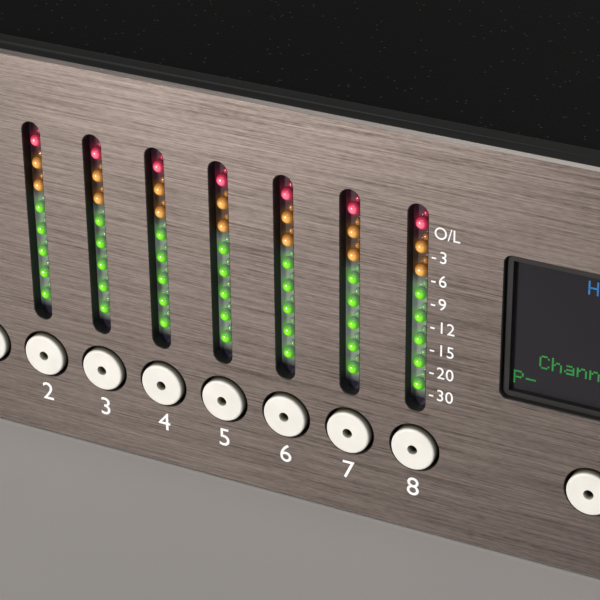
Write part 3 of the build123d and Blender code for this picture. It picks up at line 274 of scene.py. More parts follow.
class Finish:
    """A procedural material: one Principled shader, and one method that adds any other node."""

    def __init__(self, name, **constants):
        self.material = bpy.data.materials.new(name)
        self.material.use_nodes = True
        self.tree = self.material.node_tree
        self.shader = self.tree.nodes["Principled BSDF"]
        for socket, value in constants.items():
            self.shader.inputs[socket.replace("_", " ")].default_value = value
        coordinates = self.tree.nodes.new("ShaderNodeTexCoord")
        self.place = Value(self, coordinates.outputs["Object"])
        self.facing = Value(self, coordinates.outputs["Normal"])

    def add(self, kind, settings, values, output=0):
        """One node: its settings first, then the values or links of its sockets."""
        node = self.tree.nodes.new(kind)
        for key, value in settings.items():
            setattr(node, key, value)
        for key, value in values.items():
            self.plug(value, node.inputs[key])
        return Value(self, node.outputs[output])

    def sum_of(self, operation, *terms):
        """A Math node on the given terms."""
        return self.add("ShaderNodeMath", {"operation": operation}, dict(enumerate(terms)))

    def plug(self, value, socket):
        """A number, a colour or another node's output goes into a socket."""
        if isinstance(value, Value):
            self.tree.links.new(value.socket, socket)
        elif socket.type == "RGBA" and len(value) == 3:
            socket.default_value = (*value, 1.0)
        else:
            socket.default_value = value

    def set(self, **channels):
        """What the shader's own sockets take."""
        for socket, value in channels.items():
            self.plug(value, self.shader.inputs[socket.replace("_", " ")])

    def cover(self, mask, colour, roughness):
        """Lays a second, unmetallic coat over the finish where a mask is 1."""
        base = self.shader.inputs["Base Color"]
        gloss = self.shader.inputs["Roughness"]
        under = Value(self, base.links[0].from_socket)
        rough = Value(self, gloss.links[0].from_socket)
        self.set(
            Base_Color=self.blend(mask, under, colour),
            Roughness=rough * (1 - mask) + mask * roughness,
            Metallic=(1 - mask) * self.shader.inputs["Metallic"].default_value,
        )

    def split(self, vector):
        """The three parts of a vector."""
        node = self.tree.nodes.new("ShaderNodeSeparateXYZ")
        self.plug(vector, node.inputs[0])
        return [Value(self, output) for output in node.outputs]

    def noise(self, size, detail=2.0, roughness=0.5, seed=0.0):
        """Noise whose grains are size metres long on each axis, from 0 to 1."""
        scale = [1 / s for s in (size if isinstance(size, (tuple, list)) else (size,) * 3)]
        where = self.add(
            "ShaderNodeMapping", {}, {"Vector": self.place, "Scale": scale, "Location": (seed, seed, seed)}
        )
        grains = {"Vector": where, "Scale": 1.0, "Detail": detail, "Roughness": roughness}
        return self.add("ShaderNodeTexNoise", {}, grains)

    def cells(self, size):
        """Random tones, one for each small cell."""
        where = self.add("ShaderNodeMapping", {}, {"Vector": self.place, "Scale": (1 / size,) * 3})
        whole = self.add("ShaderNodeVectorMath", {"operation": "FLOOR"}, {0: where})
        return self.add("ShaderNodeTexWhiteNoise", {"noise_dimensions": "3D"}, {"Vector": whole})

    def blend(self, factor, first, second):
        """Two colours mixed."""
        return self.add(
            "ShaderNodeMix", {"data_type": "RGBA"}, {"Factor": factor, 6: first, 7: second}, output=2
        )

    def range(self, value, low, high, to_low=0.0, to_high=1.0):
        """A value mapped from one range to another, and kept in it."""
        return self.add(
            "ShaderNodeMapRange", {"clamp": True},
            {"Value": value, "From Min": low, "From Max": high, "To Min": to_low, "To Max": to_high},
        )

    def bump(self, height, strength, distance):
        """Raises the surface by a height, for the shader's Normal."""
        return self.add("ShaderNodeBump", {}, {"Strength": strength, "Distance": distance, "Height": height})


def finish_nodes(finish, *nodes):
    """Gives CAD nodes a finish."""
    for name in nodes:
        for holder in frame["nodes"][name].material_slots:
            holder.material = finish.material


def shades(colour, spread):
    """A darker and a lighter shade of a colour."""
    return [c * (1 - spread) for c in colour], [min(1.0, c * (1 + spread)) for c in colour]


def dimmed(colour, share):
    """A share of a colour's brightness."""
    return [c * share for c in colour]


def worn_metal(name, colour, roughness, grain=(0.004, 0.0002, 0.0002), metallic=1.0):
    """Plated, cast or turned metal: fine directional grain, and tone and gloss that wander."""
    finish = Finish(name, Metallic=metallic)
    strokes = finish.noise(grain, detail=4)
    patches = finish.noise(0.006, detail=3, seed=3.0)
    tone = finish.range(strokes * 0.6 + patches * 0.4, 0.3, 0.7)
    finish.set(
        Base_Color=finish.blend(tone, *shades(colour, 0.25)),
        Roughness=roughness + (patches - 0.5) * 0.25 + (strokes - 0.5) * 0.1,
        Normal=finish.bump(strokes, 0.15, 0.00002),
    )
    return finish


def moulded(name, colour, roughness, texture=0.00025, bump=0.2):
    """Moulded plastic: a spark-eroded texture, faint flow marks and finger-worn gloss."""
    finish = Finish(name)
    pores = finish.noise(texture, detail=3)
    flow = finish.noise((0.008, 0.003, 0.008), detail=2, seed=5.0)
    tone = finish.range(flow * 0.7 + pores * 0.3, 0.3, 0.7)
    finish.set(
        Base_Color=finish.blend(tone, *shades(colour, 0.12)),
        Roughness=roughness + (flow - 0.5) * 0.2,
        Normal=finish.bump(pores, bump, 0.00002),
    )
    return finish


# ---------------------------------------------------------------- mesh helpers
def new_piece(name, mesh, finish):
    """A finished piece at the origin, riding on the chassis."""
    piece = bpy.data.objects.new(name, mesh)
    bpy.context.scene.collection.objects.link(piece)
    mesh.materials.clear()
    mesh.materials.append(finish.material)
    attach(piece, CHASSIS)
    return piece


def lathe(name, profile, segments):
    """A closed turned mesh about local Z, from (radius, height) pairs that start and end on the axis."""
    shape = bmesh.new()
    turns = [2 * math.pi * i / segments for i in range(segments)]
    rings = []
    for radius, height in profile:
        if radius == 0:
            ring = [(0, 0, height)]
        else:
            ring = [(radius * math.cos(a), radius * math.sin(a), height) for a in turns]
        rings.append([shape.verts.new(place) for place in ring])
    for lower, upper in zip(rings, rings[1:]):
        for i in range(segments):
            j = (i + 1) % segments
            corners = [ring[k % len(ring)] for ring, k in ((lower, i), (lower, j), (upper, j), (upper, i))]
            shape.faces.new(list(dict.fromkeys(corners)))
    bmesh.ops.recalc_face_normals(shape, faces=shape.faces)
    mesh = bpy.data.meshes.new(name)
    shape.to_mesh(mesh)
    shape.free()
    mesh.shade_smooth()
    mesh.set_sharp_from_angle(angle=math.radians(40))
    return mesh


def block(name, size, edge=0.0):
    """A small block with softened edges, about its own middle."""
    shape = bmesh.new()
    bmesh.ops.create_cube(shape, size=1.0)
    bmesh.ops.scale(shape, vec=size, verts=shape.verts)
    if edge:
        bmesh.ops.bevel(shape, geom=shape.edges, offset=edge, segments=2, affect="EDGES", profile=0.5)
    mesh = bpy.data.meshes.new(name)
    shape.to_mesh(mesh)
    shape.free()
    return mesh


def new_tree(name, inputs):
    """An empty tree of geometry nodes with a geometry output and the inputs given."""
    tree = bpy.data.node_groups.new(name, "GeometryNodeTree")
    tree.interface.new_socket("Geometry", in_out="OUTPUT", socket_type="NodeSocketGeometry")
    for label, kind in inputs.items():
        tree.interface.new_socket(label, in_out="INPUT", socket_type="NodeSocket" + kind)
    return tree, tree.nodes.new("NodeGroupInput").outputs


def copies_on(tree, points, instance):
    """An instance on each point."""
    node = tree.nodes.new("GeometryNodeInstanceOnPoints")
    tree.links.new(points, node.inputs["Points"])
    tree.links.new(instance, node.inputs["Instance"])
    return node.outputs[0]


def template_of(tree, given):
    """The geometry of the object given as the template."""
    template = tree.nodes.new("GeometryNodeObjectInfo")
    tree.links.new(given["Template"], template.inputs["Object"])
    return template.outputs["Geometry"]


def close_tree(tree, given, copies):
    """Makes the copies real, gives them the material and sends them out."""
    realized = tree.nodes.new("GeometryNodeRealizeInstances")
    painted = tree.nodes.new("GeometryNodeSetMaterial")
    tree.links.new(copies, realized.inputs[0])
    tree.links.new(realized.outputs[0], painted.inputs["Geometry"])
    tree.links.new(given["Material"], painted.inputs["Material"])
    tree.links.new(painted.outputs[0], tree.nodes.new("NodeGroupOutput").inputs[0])


def grid_tree():
    """Geometry nodes that repeat a template in columns and rows, and give it a material."""
    name = "repeat_in_grid"
    if name in bpy.data.node_groups:
        return bpy.data.node_groups[name]
    tree, given = new_tree(name, {
        "Template": "Object", "Material": "Material", "Start": "Vector",
        "Columns": "Int", "Column Step": "Vector", "Rows": "Int", "Row Step": "Vector",
    })

    def line(count, step):
        node = tree.nodes.new("GeometryNodeMeshLine")
        tree.links.new(given[count], node.inputs["Count"])
        tree.links.new(given[step], node.inputs["Offset"])
        return node

    down = line("Rows", "Row Step")
    across = line("Columns", "Column Step")
    tree.links.new(given["Start"], across.inputs["Start Location"])
    column = copies_on(tree, down.outputs[0], template_of(tree, given))
    close_tree(tree, given, copies_on(tree, across.outputs[0], column))
    return tree


def points_tree():
    """Geometry nodes that put a template on each point of a mesh, and give it a material."""
    name = "repeat_on_points"
    if name in bpy.data.node_groups:
        return bpy.data.node_groups[name]
    tree, given = new_tree(name, {"Geometry": "Geometry", "Template": "Object", "Material": "Material"})
    close_tree(tree, given, copies_on(tree, given["Geometry"], template_of(tree, given)))
    return tree


def made_by_nodes(name, tree, template, finish, carrier=None, **inputs):
    """The plain mesh that a tree makes from a template mesh."""
    scene = bpy.context.scene.collection.objects
    source = bpy.data.objects.new(name + "_template", template)
    maker = bpy.data.objects.new(name + "_maker", carrier or bpy.data.meshes.new(name))
    scene.link(source)
    scene.link(maker)
    modifier = maker.modifiers.new("repeat", "NODES")
    modifier.node_group = tree
    inputs.update(Template=source, Material=finish.material)
    for item in tree.interface.items_tree:
        if item.in_out == "INPUT" and item.name in inputs:
            modifier[item.identifier] = inputs[item.name]
    evaluated = maker.evaluated_get(bpy.context.evaluated_depsgraph_get())
    mesh = bpy.data.meshes.new_from_object(evaluated)
    maker.modifiers.remove(modifier)
    bpy.data.objects.remove(maker)
    bpy.data.objects.remove(source)
    return mesh


FACING_FRONT = Matrix.Rotation(math.radians(90), 4, "X")
FACING_REAR = Matrix.Rotation(math.radians(180), 4, "Z") @ FACING_FRONT


def lettering(words, height, width=None, thickness=0.00003):
    """A printed word's mesh, with its left end and mid-height at 0, and its width."""
    curve = bpy.data.curves.new("word", "FONT")
    curve.size = 1.0
    ruler = bpy.data.objects.new("word", curve)
    bpy.context.scene.collection.objects.link(ruler)

    def as_mesh(body):
        curve.body = body
        return bpy.data.meshes.new_from_object(ruler.evaluated_get(bpy.context.evaluated_depsgraph_get()))

    digit = as_mesh("0")
    low, high = (pick(v.co.y for v in digit.vertices) for pick in (min, max))
    factor = height / (high - low)
    curve.extrude = thickness / 2 / factor
    mesh = as_mesh(words)
    left = min(v.co.x for v in mesh.vertices)
    natural = (max(v.co.x for v in mesh.vertices) - left) * factor
    width = width or natural
    mesh.transform(Matrix.Translation((-left, -(low + high) / 2, 0)))
    mesh.transform(Matrix.Diagonal((factor * width / natural, factor, factor, 1)))
    bpy.data.objects.remove(ruler)
    bpy.data.curves.remove(curve)
    return mesh, width


def printed(name, labels, turn, finish):
    """One piece of print from (words, place, height, width, anchor) labels on an upright face."""
    joined = bmesh.new()
    for words, place, height, width, anchor in labels:
        mesh, width = lettering(words, height, width)
        mesh.transform(Matrix.Translation((-width * anchor, 0, 0)))
        mesh.transform(Matrix.Translation(place) @ turn)
        joined.from_mesh(mesh)
        bpy.data.meshes.remove(mesh)
    result = bpy.data.meshes.new(name)
    joined.to_mesh(result)
    joined.free()
    return new_piece(name, result, finish)


# ---------------------------------------------------------------- shared finishes
def powder_coat(name):
    """Fine black powder coat: a pebbled skin, with sparse lighter specks as painted glints."""
    finish = Finish(name, Specular_IOR_Level=0.08)
    pebbles = finish.noise(0.00045, detail=3)
    drift = finish.noise(0.03, detail=2, seed=2.0)
    # Painted glints: sparse cells of the coat are painted much lighter, standing in for grains that catch the
    # light.
    painted_glints = finish.cells(0.00018) > 0.995
    base = finish.blend(drift, (0.003, 0.003, 0.0032), (0.006, 0.0058, 0.0058))
    finish.set(
        Base_Color=finish.blend(painted_glints * 0.3, base, (0.12, 0.115, 0.11)),
        Roughness=0.50 + (pebbles - 0.5) * 0.25 - painted_glints * 0.2,
        Normal=finish.bump(pebbles, 0.7, 0.00006),
    )
    return finish


def board_mask(name, dark, light, copper):
    """A printed board: solder resist over traces, with tinned pads."""
    finish = Finish(name, Coat_Weight=0.3, Coat_Roughness=0.15)
    wander = finish.noise(0.012, detail=2, seed=9.0)
    lanes = finish.add(
        "ShaderNodeTexWave", {"wave_type": "BANDS", "bands_direction": "X", "wave_profile": "SIN"},
        {"Vector": finish.place, "Scale": 160.0, "Distortion": 6.0, "Detail": 1.0, "Detail Scale": 1.5},
    )
    traces = finish.range(lanes, 0.72, 0.80) * (wander > 0.48)
    scatter = {"Vector": finish.place, "Scale": 260.0, "Randomness": 0.65}
    pads = finish.add("ShaderNodeTexVoronoi", {"feature": "F1"}, scatter)
    pad = (pads < 0.16) * (wander > 0.55)
    green = finish.blend(traces, dark, light)
    finish.set(
        Base_Color=finish.blend(pad, green, copper),
        Metallic=pad * 0.9,
        Roughness=0.38 + (wander - 0.5) * 0.2 - pad * 0.1,
        Normal=finish.bump(traces, 0.4, 0.00004),
    )
    return finish


# ---------------------------------------------------------------- operators
class FinishPanel(bpy.types.Operator):
    """Brushed, dark anodised front panel, with a painted highlight on its edges and the walls of its cut-outs
    painted black as shade
    """

    bl_idname = "rack_unit.finish_panel"
    bl_label = "Front panel"

    def execute(self, context):
        look = context.scene.rack_panel
        finish = Finish("panel_brushed", Anisotropic=0.6, Anisotropic_Rotation=0.25)
        x, y, z = finish.split(finish.place)
        length, width = look.grain_length, look.grain_width
        fine = finish.noise((length, 1.0, width), detail=5, roughness=0.65)
        broad = finish.noise((length * 2.5, 1.0, width * 4), detail=4, roughness=0.6, seed=4.0)
        short = finish.noise((length / 9, 1.0, width), detail=4, roughness=0.7, seed=8.0)
        clouds = finish.noise((0.05, 1.0, 0.02), detail=2, seed=6.0)
        strokes = fine * 0.55 + broad * 0.15 + short * 0.30
        tone = finish.range(strokes + (clouds - 0.5) * 0.10, 0.38, 0.62)
        brushed = finish.blend(tone, look.metal_dark, look.metal_light)
        edge = PANEL_EDGE
        rim = (
            (z > PANEL_HIGH.z - edge).either(z < PANEL_LOW.z + edge)
            .either(x > PANEL_HIGH.x - edge).either(x < PANEL_LOW.x + edge)
        )
        # Painted highlight: the chamfered front edge and the rear edge of the panel are painted a lighter
        # metal colour, as if they caught the light.
        chamfer = finish.range(y, PANEL_FACE + edge + 0.0001, PANEL_FACE + edge)
        front_edge_highlight = (y > PANEL_FACE + 0.00002) * rim * chamfer
        rear_edge_highlight = (y > PANEL_HIGH.y - edge) * rim
        # Painted shade: every face behind the front face, the walls of the slots, holes and cut-outs among
        # them, is painted near black and unmetallic to stand in for the shade in these recesses.
        wall = (y > PANEL_FACE + 0.00003) * (1 - front_edge_highlight) * (1 - rear_edge_highlight)
        metal = finish.blend(front_edge_highlight.either(rear_edge_highlight), brushed, (0.36, 0.34, 0.32))
        finish.set(
            Base_Color=finish.blend(wall, metal, (0.005, 0.005, 0.005)),
            Metallic=1 - wall,
            Roughness=finish.range(strokes, 0.3, 0.7, 0.39, 0.27) + wall * 0.25,
            Normal=finish.bump(strokes * (1 - wall), 0.30, 0.00003),
        )
        finish_nodes(finish, "front_panel")
        return {"FINISHED"}


class PrintPanel(bpy.types.Operator):
    """Channel numbers and the scale of the last meter, printed on the front"""

    bl_idname = "rack_unit.print_panel"
    bl_label = "Panel print"

    def execute(self, context):
        look = context.scene.rack_panel
        ink = Finish("panel_ink", Roughness=0.5)
        specks = ink.noise(0.00018, detail=3)
        edge = ink.noise(0.0009, detail=2, seed=2.0)
        cover = ink.range(specks * 0.6 + edge * 0.4, 0.25, 0.6)
        ink.set(
            Base_Color=ink.blend(cover, dimmed(look.ink, 0.8), look.ink),
            Roughness=0.5 + (specks - 0.5) * 0.3,
            Normal=ink.bump(specks, 0.3, 0.00002),
        )
        face = PANEL_FACE - PRINT_LIFT
        numeral_drop, numeral_shift = 0.02885, 0.00007
        word_left, word_width = 0.0017, 0.00257
        minus_left, minus_width = 0.00145, 0.00045
        digit_left, digit_pitch = 0.00262, 0.00093
        labels = []
        for number, cap in enumerate(CAP_PLACES, start=1):
            place = (cap.x - numeral_shift, face, TOP_LAMP_Z - numeral_drop)
            labels.append((str(number), place, look.numeral_height, None, 0.5))
        scale_x, height = CAP_PLACES[-1].x, look.scale_height
        for row, mark in enumerate(("O/L", "3", "6", "9", "12", "15", "20", "30")):
            z = TOP_LAMP_Z - row * LAMP_PITCH - 0.00015
            if row == 0:
                labels.append((mark, (scale_x + word_left, face, z), height, word_width, 0))
                continue
            labels.append(("-", (scale_x + minus_left, face, z), height, minus_width, 0))
            for column, digit in enumerate(mark):
                x = scale_x + digit_left + column * digit_pitch
                labels.append((digit, (x, face, z), height, None, 0.5))
        printed("front_print", labels, FACING_FRONT, ink)
        return {"FINISHED"}


class LightMeters(bpy.types.Operator):
    """Domed lamps of the level meters, lit red, amber and green"""

    bl_idname = "rack_unit.light_meters"
    bl_label = "Meter lamps"

    def execute(self, context):
        look = context.scene.rack_meters
        height = look.dome_height
        row = 0
        for colour, count in LAMP_ROWS.items():
            rim, body, core = (getattr(look, f"{colour}_{part}") for part in ("rim", "body", "core"))
            finish = Finish("lamp_" + colour, Roughness=0.16, Coat_Weight=0.5, Coat_Roughness=0.05)
            x, y, z = finish.split(finish.place)
            rise = finish.range(y, LAMP_BOARD_Y, LAMP_BOARD_Y - height)
            die = finish.noise(0.0005, detail=2, seed=row)
            glow, heart = finish.range(rise, 0.30, 0.86), finish.range(rise, 0.78, 1.0)
            side_x, side_y, side_z = finish.split(finish.facing)
            # Painted highlight: a pale crescent of core colour on the lower-left side of each red and amber
            # dome, where a low light from the left would glint.
            painted_crescent_highlight = finish.range(side_x * -0.60 + side_z * -0.75, 0.66, 0.86)
            tint = finish.blend(glow, dimmed(rim, 0.5), body)
            tint = finish.blend(heart * (0.7 + die * 0.4), tint, core)
            finish.set(
                Base_Color=finish.blend(glow, dimmed(rim, 0.9), dimmed(body, 0.5)),
                Emission_Color=finish.blend(painted_crescent_highlight * (0.0 if colour == "green" else 0.45), tint, core),
                Roughness=0.14 + die * 0.1,
            )
            finish.shader.inputs["Emission Strength"].default_value = look.strength
            template = self.lens(colour, LAMP_RADIUS, height)
            mesh = made_by_nodes(
                "lamps_" + colour, grid_tree(), template, finish,
                Start=(CAP_PLACES[0].x, LAMP_BOARD_Y, TOP_LAMP_Z - row * LAMP_PITCH),
                Columns=CHANNELS, Rows=count,
                **{"Column Step": (COLUMN_PITCH, 0.0, 0.0), "Row Step": (0.0, 0.0, -LAMP_PITCH)},
            )
            mesh.shade_smooth()
            piece = new_piece("lamps_" + colour, mesh, finish)
            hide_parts("meter_lamps_" + colour)
            row += count
        self.finish_floor()
        return {"FINISHED"}

    def lens(self, colour, radius, height):
        """A lamp's lens standing on the board, and a smaller glowing dome up and to the right of it as a
        painted reflection of the lamp in the glossy board.
        """
        joined = bmesh.new()
        turns = [math.radians(degrees) for degrees in range(0, 90, 10)]
        reflection_share, reflection_across, reflection_up = 0.55, 0.00040, 0.00108
        # Painted reflection: the second, smaller dome glows in the lamp's colours and stands in for the
        # lamp's reflection in the board.
        for share, across, up in ((1.0, 0.0, 0.0), (reflection_share, reflection_across, reflection_up)):
            reach, top = radius * share, height * share
            wall = top * 0.30
            arc = [(reach * math.cos(a), wall + (top - wall) * math.sin(a)) for a in turns]
            dome = lathe("dome_" + colour, [(0, 0), (reach, 0)] + arc + [(0, top)], 24)
            dome.transform(Matrix.Translation((across, 0, up)) @ FACING_FRONT)
            joined.from_mesh(dome)
            bpy.data.meshes.remove(dome)
        mesh = bpy.data.meshes.new("lens_" + colour)
        joined.to_mesh(mesh)
        joined.free()
        return mesh

    def finish_floor(self):
        """The glossy board under the lamps, tinted by their light."""
        resist = Finish("meter_board_resist", Coat_Weight=1.0, Coat_Roughness=0.06)
        x, y, z = resist.split(resist.place)
        grime = resist.noise(0.0007, detail=3)
        down = (TOP_LAMP_Z - z) * (1 / LAMP_PITCH)
        last = sum(LAMP_ROWS.values()) - 1
        reds = resist.range(down, 0.9, 0.4) * resist.range(down, -0.9, -0.3)
        ambers = resist.range(down, 0.4, 0.9) * resist.range(down, 2.6, 2.2)
        greens = resist.range(down, 2.2, 2.7) * resist.range(down, last + 0.7, last + 0.25)
        across = resist.sum_of("PINGPONG", x - CAP_PLACES[0].x, COLUMN_PITCH / 2) * (1 / LAMP_PITCH)
        along = resist.sum_of("PINGPONG", down, 0.5)
        reach = (across ** 2 + along ** 2) ** 0.5
        halo = resist.range(reach, 0.52, 0.2) ** 1.5
        patches = resist.noise((0.004, 0.004, 0.006), detail=1, seed=7.0)
        dark = resist.blend(grime, (0.016, 0.014, 0.026), (0.026, 0.022, 0.040))
        tinted = resist.blend(greens, resist.blend(ambers, dark, (0.045, 0.030, 0.022)), (0.12, 0.14, 0.125))
        grey = resist.blend(resist.range(patches, 0.35, 0.6), (0.030, 0.040, 0.034), (0.105, 0.125, 0.115))
        glow_green = resist.blend(halo, grey, (0.09, 0.34, 0.015))
        glow_amber = resist.blend(halo, (0.020, 0.010, 0.006), (0.12, 0.05, 0.008))
        glow_red = resist.blend(halo, (0.022, 0.004, 0.009), (0.16, 0.008, 0.02))
        front = y < LAMP_BOARD_Y + 0.0001
        light = resist.blend(reds, (0.0, 0.0, 0.0), glow_red)
        light = resist.blend(ambers, light, glow_amber)
        light = resist.blend(greens, light, glow_green)
        resist.set(
            Base_Color=resist.blend(reds, tinted, (0.035, 0.012, 0.016)),
            Metallic=0.25,
            Roughness=0.13 + (grime - 0.5) * 0.1,
            Emission_Color=resist.blend(front, (0.0, 0.0, 0.0), light),
        )
        resist.shader.inputs["Emission Strength"].default_value = 1.0
        finish_nodes(resist, "front_boards")


class FinishButtons(bpy.types.Operator):
    """Cream push buttons with a dark light pipe in the middle, and painted shade down the sides of their caps
    """

    bl_idname = "rack_unit.finish_buttons"
    bl_label = "Push buttons"

    def execute(self, context):
        names = [f"channel_button_{n}" for n in range(1, CHANNELS + 1)]
        names += ["function_button_1", "function_button_2"]
        self.paint("button_cream", names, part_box("channel_button_1")[0].y)
        self.paint("power_button_cream", ["power_button"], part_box("power_button")[0].y)
        return {"FINISHED"}

    def paint(self, name, nodes, front):
        """One finish for caps whose tops stand at the same place."""
        finish = Finish(name, IOR=1.49)
        x, y, z = finish.split(finish.place)
        pores = finish.noise(0.00022, detail=3)
        flow = finish.noise((0.003, 0.002, 0.003), detail=2, seed=3.0)
        depth = y - front
        pipe = finish.range(depth, 0.0006, 0.0012)
        # Painted shade: below the face the cap's side is painted dark beige, and near black where it goes
        # into the panel's hole.
        shaded_side = finish.range(depth, 0.00012, 0.0004)
        deep_shade = finish.range(depth, 0.0004, 0.0008)
        cream = finish.blend(finish.range(flow, 0.3, 0.7), (0.60, 0.605, 0.57), (0.66, 0.665, 0.63))
        body = finish.blend(shaded_side * 0.9, cream, (0.26, 0.235, 0.17))
        body = finish.blend(deep_shade * 0.85, body, (0.03, 0.028, 0.02))
        finish.set(
            Base_Color=finish.blend(pipe, body, (0.05, 0.05, 0.032)),
            Roughness=0.42 + (pores - 0.5) * 0.25,
            Normal=finish.bump(pores, 0.15, 0.00002),
        )
        finish_nodes(finish, *nodes)


GLYPHS = {
    "H": "#...# #...# #...# ##### #...# #...# #...#",
    "P": "####. #...# #...# ####. #.... #.... #....",
    "F": "##### #.... #.... ####. #.... #.... #....",
    "C": ".###. #...# #.... #.... #.... #...# .###.",
    "h": "#.... #.... #.##. ##..# #...# #...# #...#",
    "a": "..... ..... .###. ....# .#### #...# .####",
    "n": "..... ..... #.##. ##..# #...# #...# #...#",
    "e": "..... ..... .###. #...# ##### #.... .###.",
    "l": ".##.. ..#.. ..#.. ..#.. ..#.. ..#.. .###.",
    "8": ".###. #...# #...# .###. #...# #...# .###.",
    "-": "..... ..... ..... ##### ..... ..... .....",
    " ": "..... ..... ..... ..... ..... ..... .....",
}


class LightDisplay(bpy.types.Operator):
    """Dark display in its stepped frame, with dot characters"""

    bl_idname = "rack_unit.light_display"
    bl_label = "Display"

    def execute(self, context):
        look = context.scene.rack_display
        frame_finish = moulded("display_frame_grey", (0.011, 0.011, 0.0105), 0.36, texture=0.0002, bump=0.1)
        finish_nodes(frame_finish, "display_frame")
        glass = Finish("display_cover", Specular_IOR_Level=0.25, Coat_Weight=0.2, Coat_Roughness=0.04)
        x, y, z = glass.split(glass.place)
        smear = glass.noise((0.012, 0.01, 0.02), detail=3, seed=2.0)
        lift = glass.range(z, GLASS_LOW.z, GLASS_HIGH.z)
        glass.set(
            Base_Color=glass.blend(lift, (0.014, 0.013, 0.017), (0.009, 0.0085, 0.011)),
            Roughness=0.30 + (smear - 0.5) * 0.1,
        )
        finish_nodes(glass, "display_glass")
        for colour, words in (
            ("blue", [("HPF", 0.01659, 0.00241)]),
            ("green", [("Channel 8", 0.01221, 0.01137), ("P-", 0.00969, 0.01358)]),
        ):
            finish = Finish("dots_" + colour, Roughness=0.5)
            light = getattr(look, colour)
            flicker = finish.cells(look.dot_pitch)
            finish.set(
                Base_Color=finish.blend(flicker, dimmed(light, 0.25), dimmed(light, 0.35)),
                Emission_Color=finish.blend(flicker, dimmed(light, 0.45), dimmed(light, 0.65)),
            )
            finish.shader.inputs["Emission Strength"].default_value = 0.9
            self.write(colour, words, look.dot_pitch, finish)
        return {"FINISHED"}

    def write(self, colour, words, pitch, finish):
        """Dots of all words of one colour, as one piece, placed from the last meter's top lamp."""
        lit = []
        for text, indent, drop in words:
            for place, letter in enumerate(text):
                for line, dots in enumerate(GLYPHS[letter].split()):
                    z = TOP_LAMP_Z - drop - line * pitch
                    for column, dot in enumerate(dots):
                        if dot == "#":
                            x = CAP_PLACES[-1].x + indent + (place * 6 + column) * pitch
                            lit.append((x, GLASS_LOW.y, z))
        carrier = bpy.data.meshes.new("dots_" + colour)
        carrier.from_pydata(lit, [], [])
        template = block("dot", (pitch * 0.84, 0.00002, pitch * 0.84))
        mesh = made_by_nodes("dots_" + colour, points_tree(), template, finish, carrier=carrier)
        new_piece("display_dots_" + colour, mesh, finish)


class FinishCase(bpy.types.Operator):
    """Powder-coated cover, tray and rear panel, with their screws"""

    bl_idname = "rack_unit.finish_case"
    bl_label = "Case"

    def execute(self, context):
        finish_nodes(powder_coat("case_powder_coat"), "top_cover", "chassis_tray", "rear_panel")
        black_oxide = worn_metal("screw_black", (0.035, 0.035, 0.037), 0.42, grain=0.0004, metallic=0.8)
        finish_nodes(black_oxide, "cover_screws")
        zinc = worn_metal("screw_zinc", (0.50, 0.50, 0.49), 0.36, grain=0.0006)
        finish_nodes(zinc, "panel_screws", "board_screws")
        finish_nodes(worn_metal("screw_dark_nickel", (0.20, 0.20, 0.20), 0.33, grain=0.0005), "rear_screws")
        return {"FINISHED"}


class FinishControls(bpy.types.Operator):
    """Encoder knob and the sockets of the front"""

    bl_idname = "rack_unit.finish_controls"
    bl_label = "Knob and front sockets"

    def execute(self, context):
        hub = middle("encoder_knob")
        knob = Finish("knob_turned", Metallic=1.0)
        x, y, z = knob.split(knob.place)
        across, along = x - hub.x, z - hub.z
        reach = (across ** 2 + along ** 2) ** 0.5
        where = knob.add("ShaderNodeCombineXYZ", {}, {"X": reach * 9000.0, "Y": y * 9000.0})
        rings = knob.add("ShaderNodeTexNoise", {}, {"Vector": where, "Scale": 1.0, "Detail": 3.0})
        drift = knob.noise(0.006, detail=2, seed=5.0)
        tone = knob.range(rings * 0.7 + drift * 0.3, 0.3, 0.7)
        knob.set(
            Base_Color=knob.blend(tone, (0.15, 0.138, 0.13), (0.25, 0.232, 0.22)),
            Roughness=0.34 + (rings - 0.5) * 0.25,
            Normal=knob.bump(rings, 0.3, 0.00002),
        )
        finish_nodes(knob, "encoder_knob")
        steel = worn_metal("shaft_steel", (0.52, 0.51, 0.50), 0.30)
        finish_nodes(steel, "encoder_shaft", "encoder_plunger")
        finish_nodes(worn_metal("encoder_zinc", (0.42, 0.42, 0.41), 0.45, grain=0.0008), "encoder_body")
        finish_nodes(worn_metal("nickel_nuts", (0.60, 0.58, 0.55), 0.22), "panel_nuts")
        finish_nodes(moulded("jack_nylon", (0.016, 0.016, 0.017), 0.48), "jack_sockets")
        finish_nodes(moulded("key_switch_black", (0.02, 0.02, 0.02), 0.5), "key_switches")
        return {"FINISHED"}


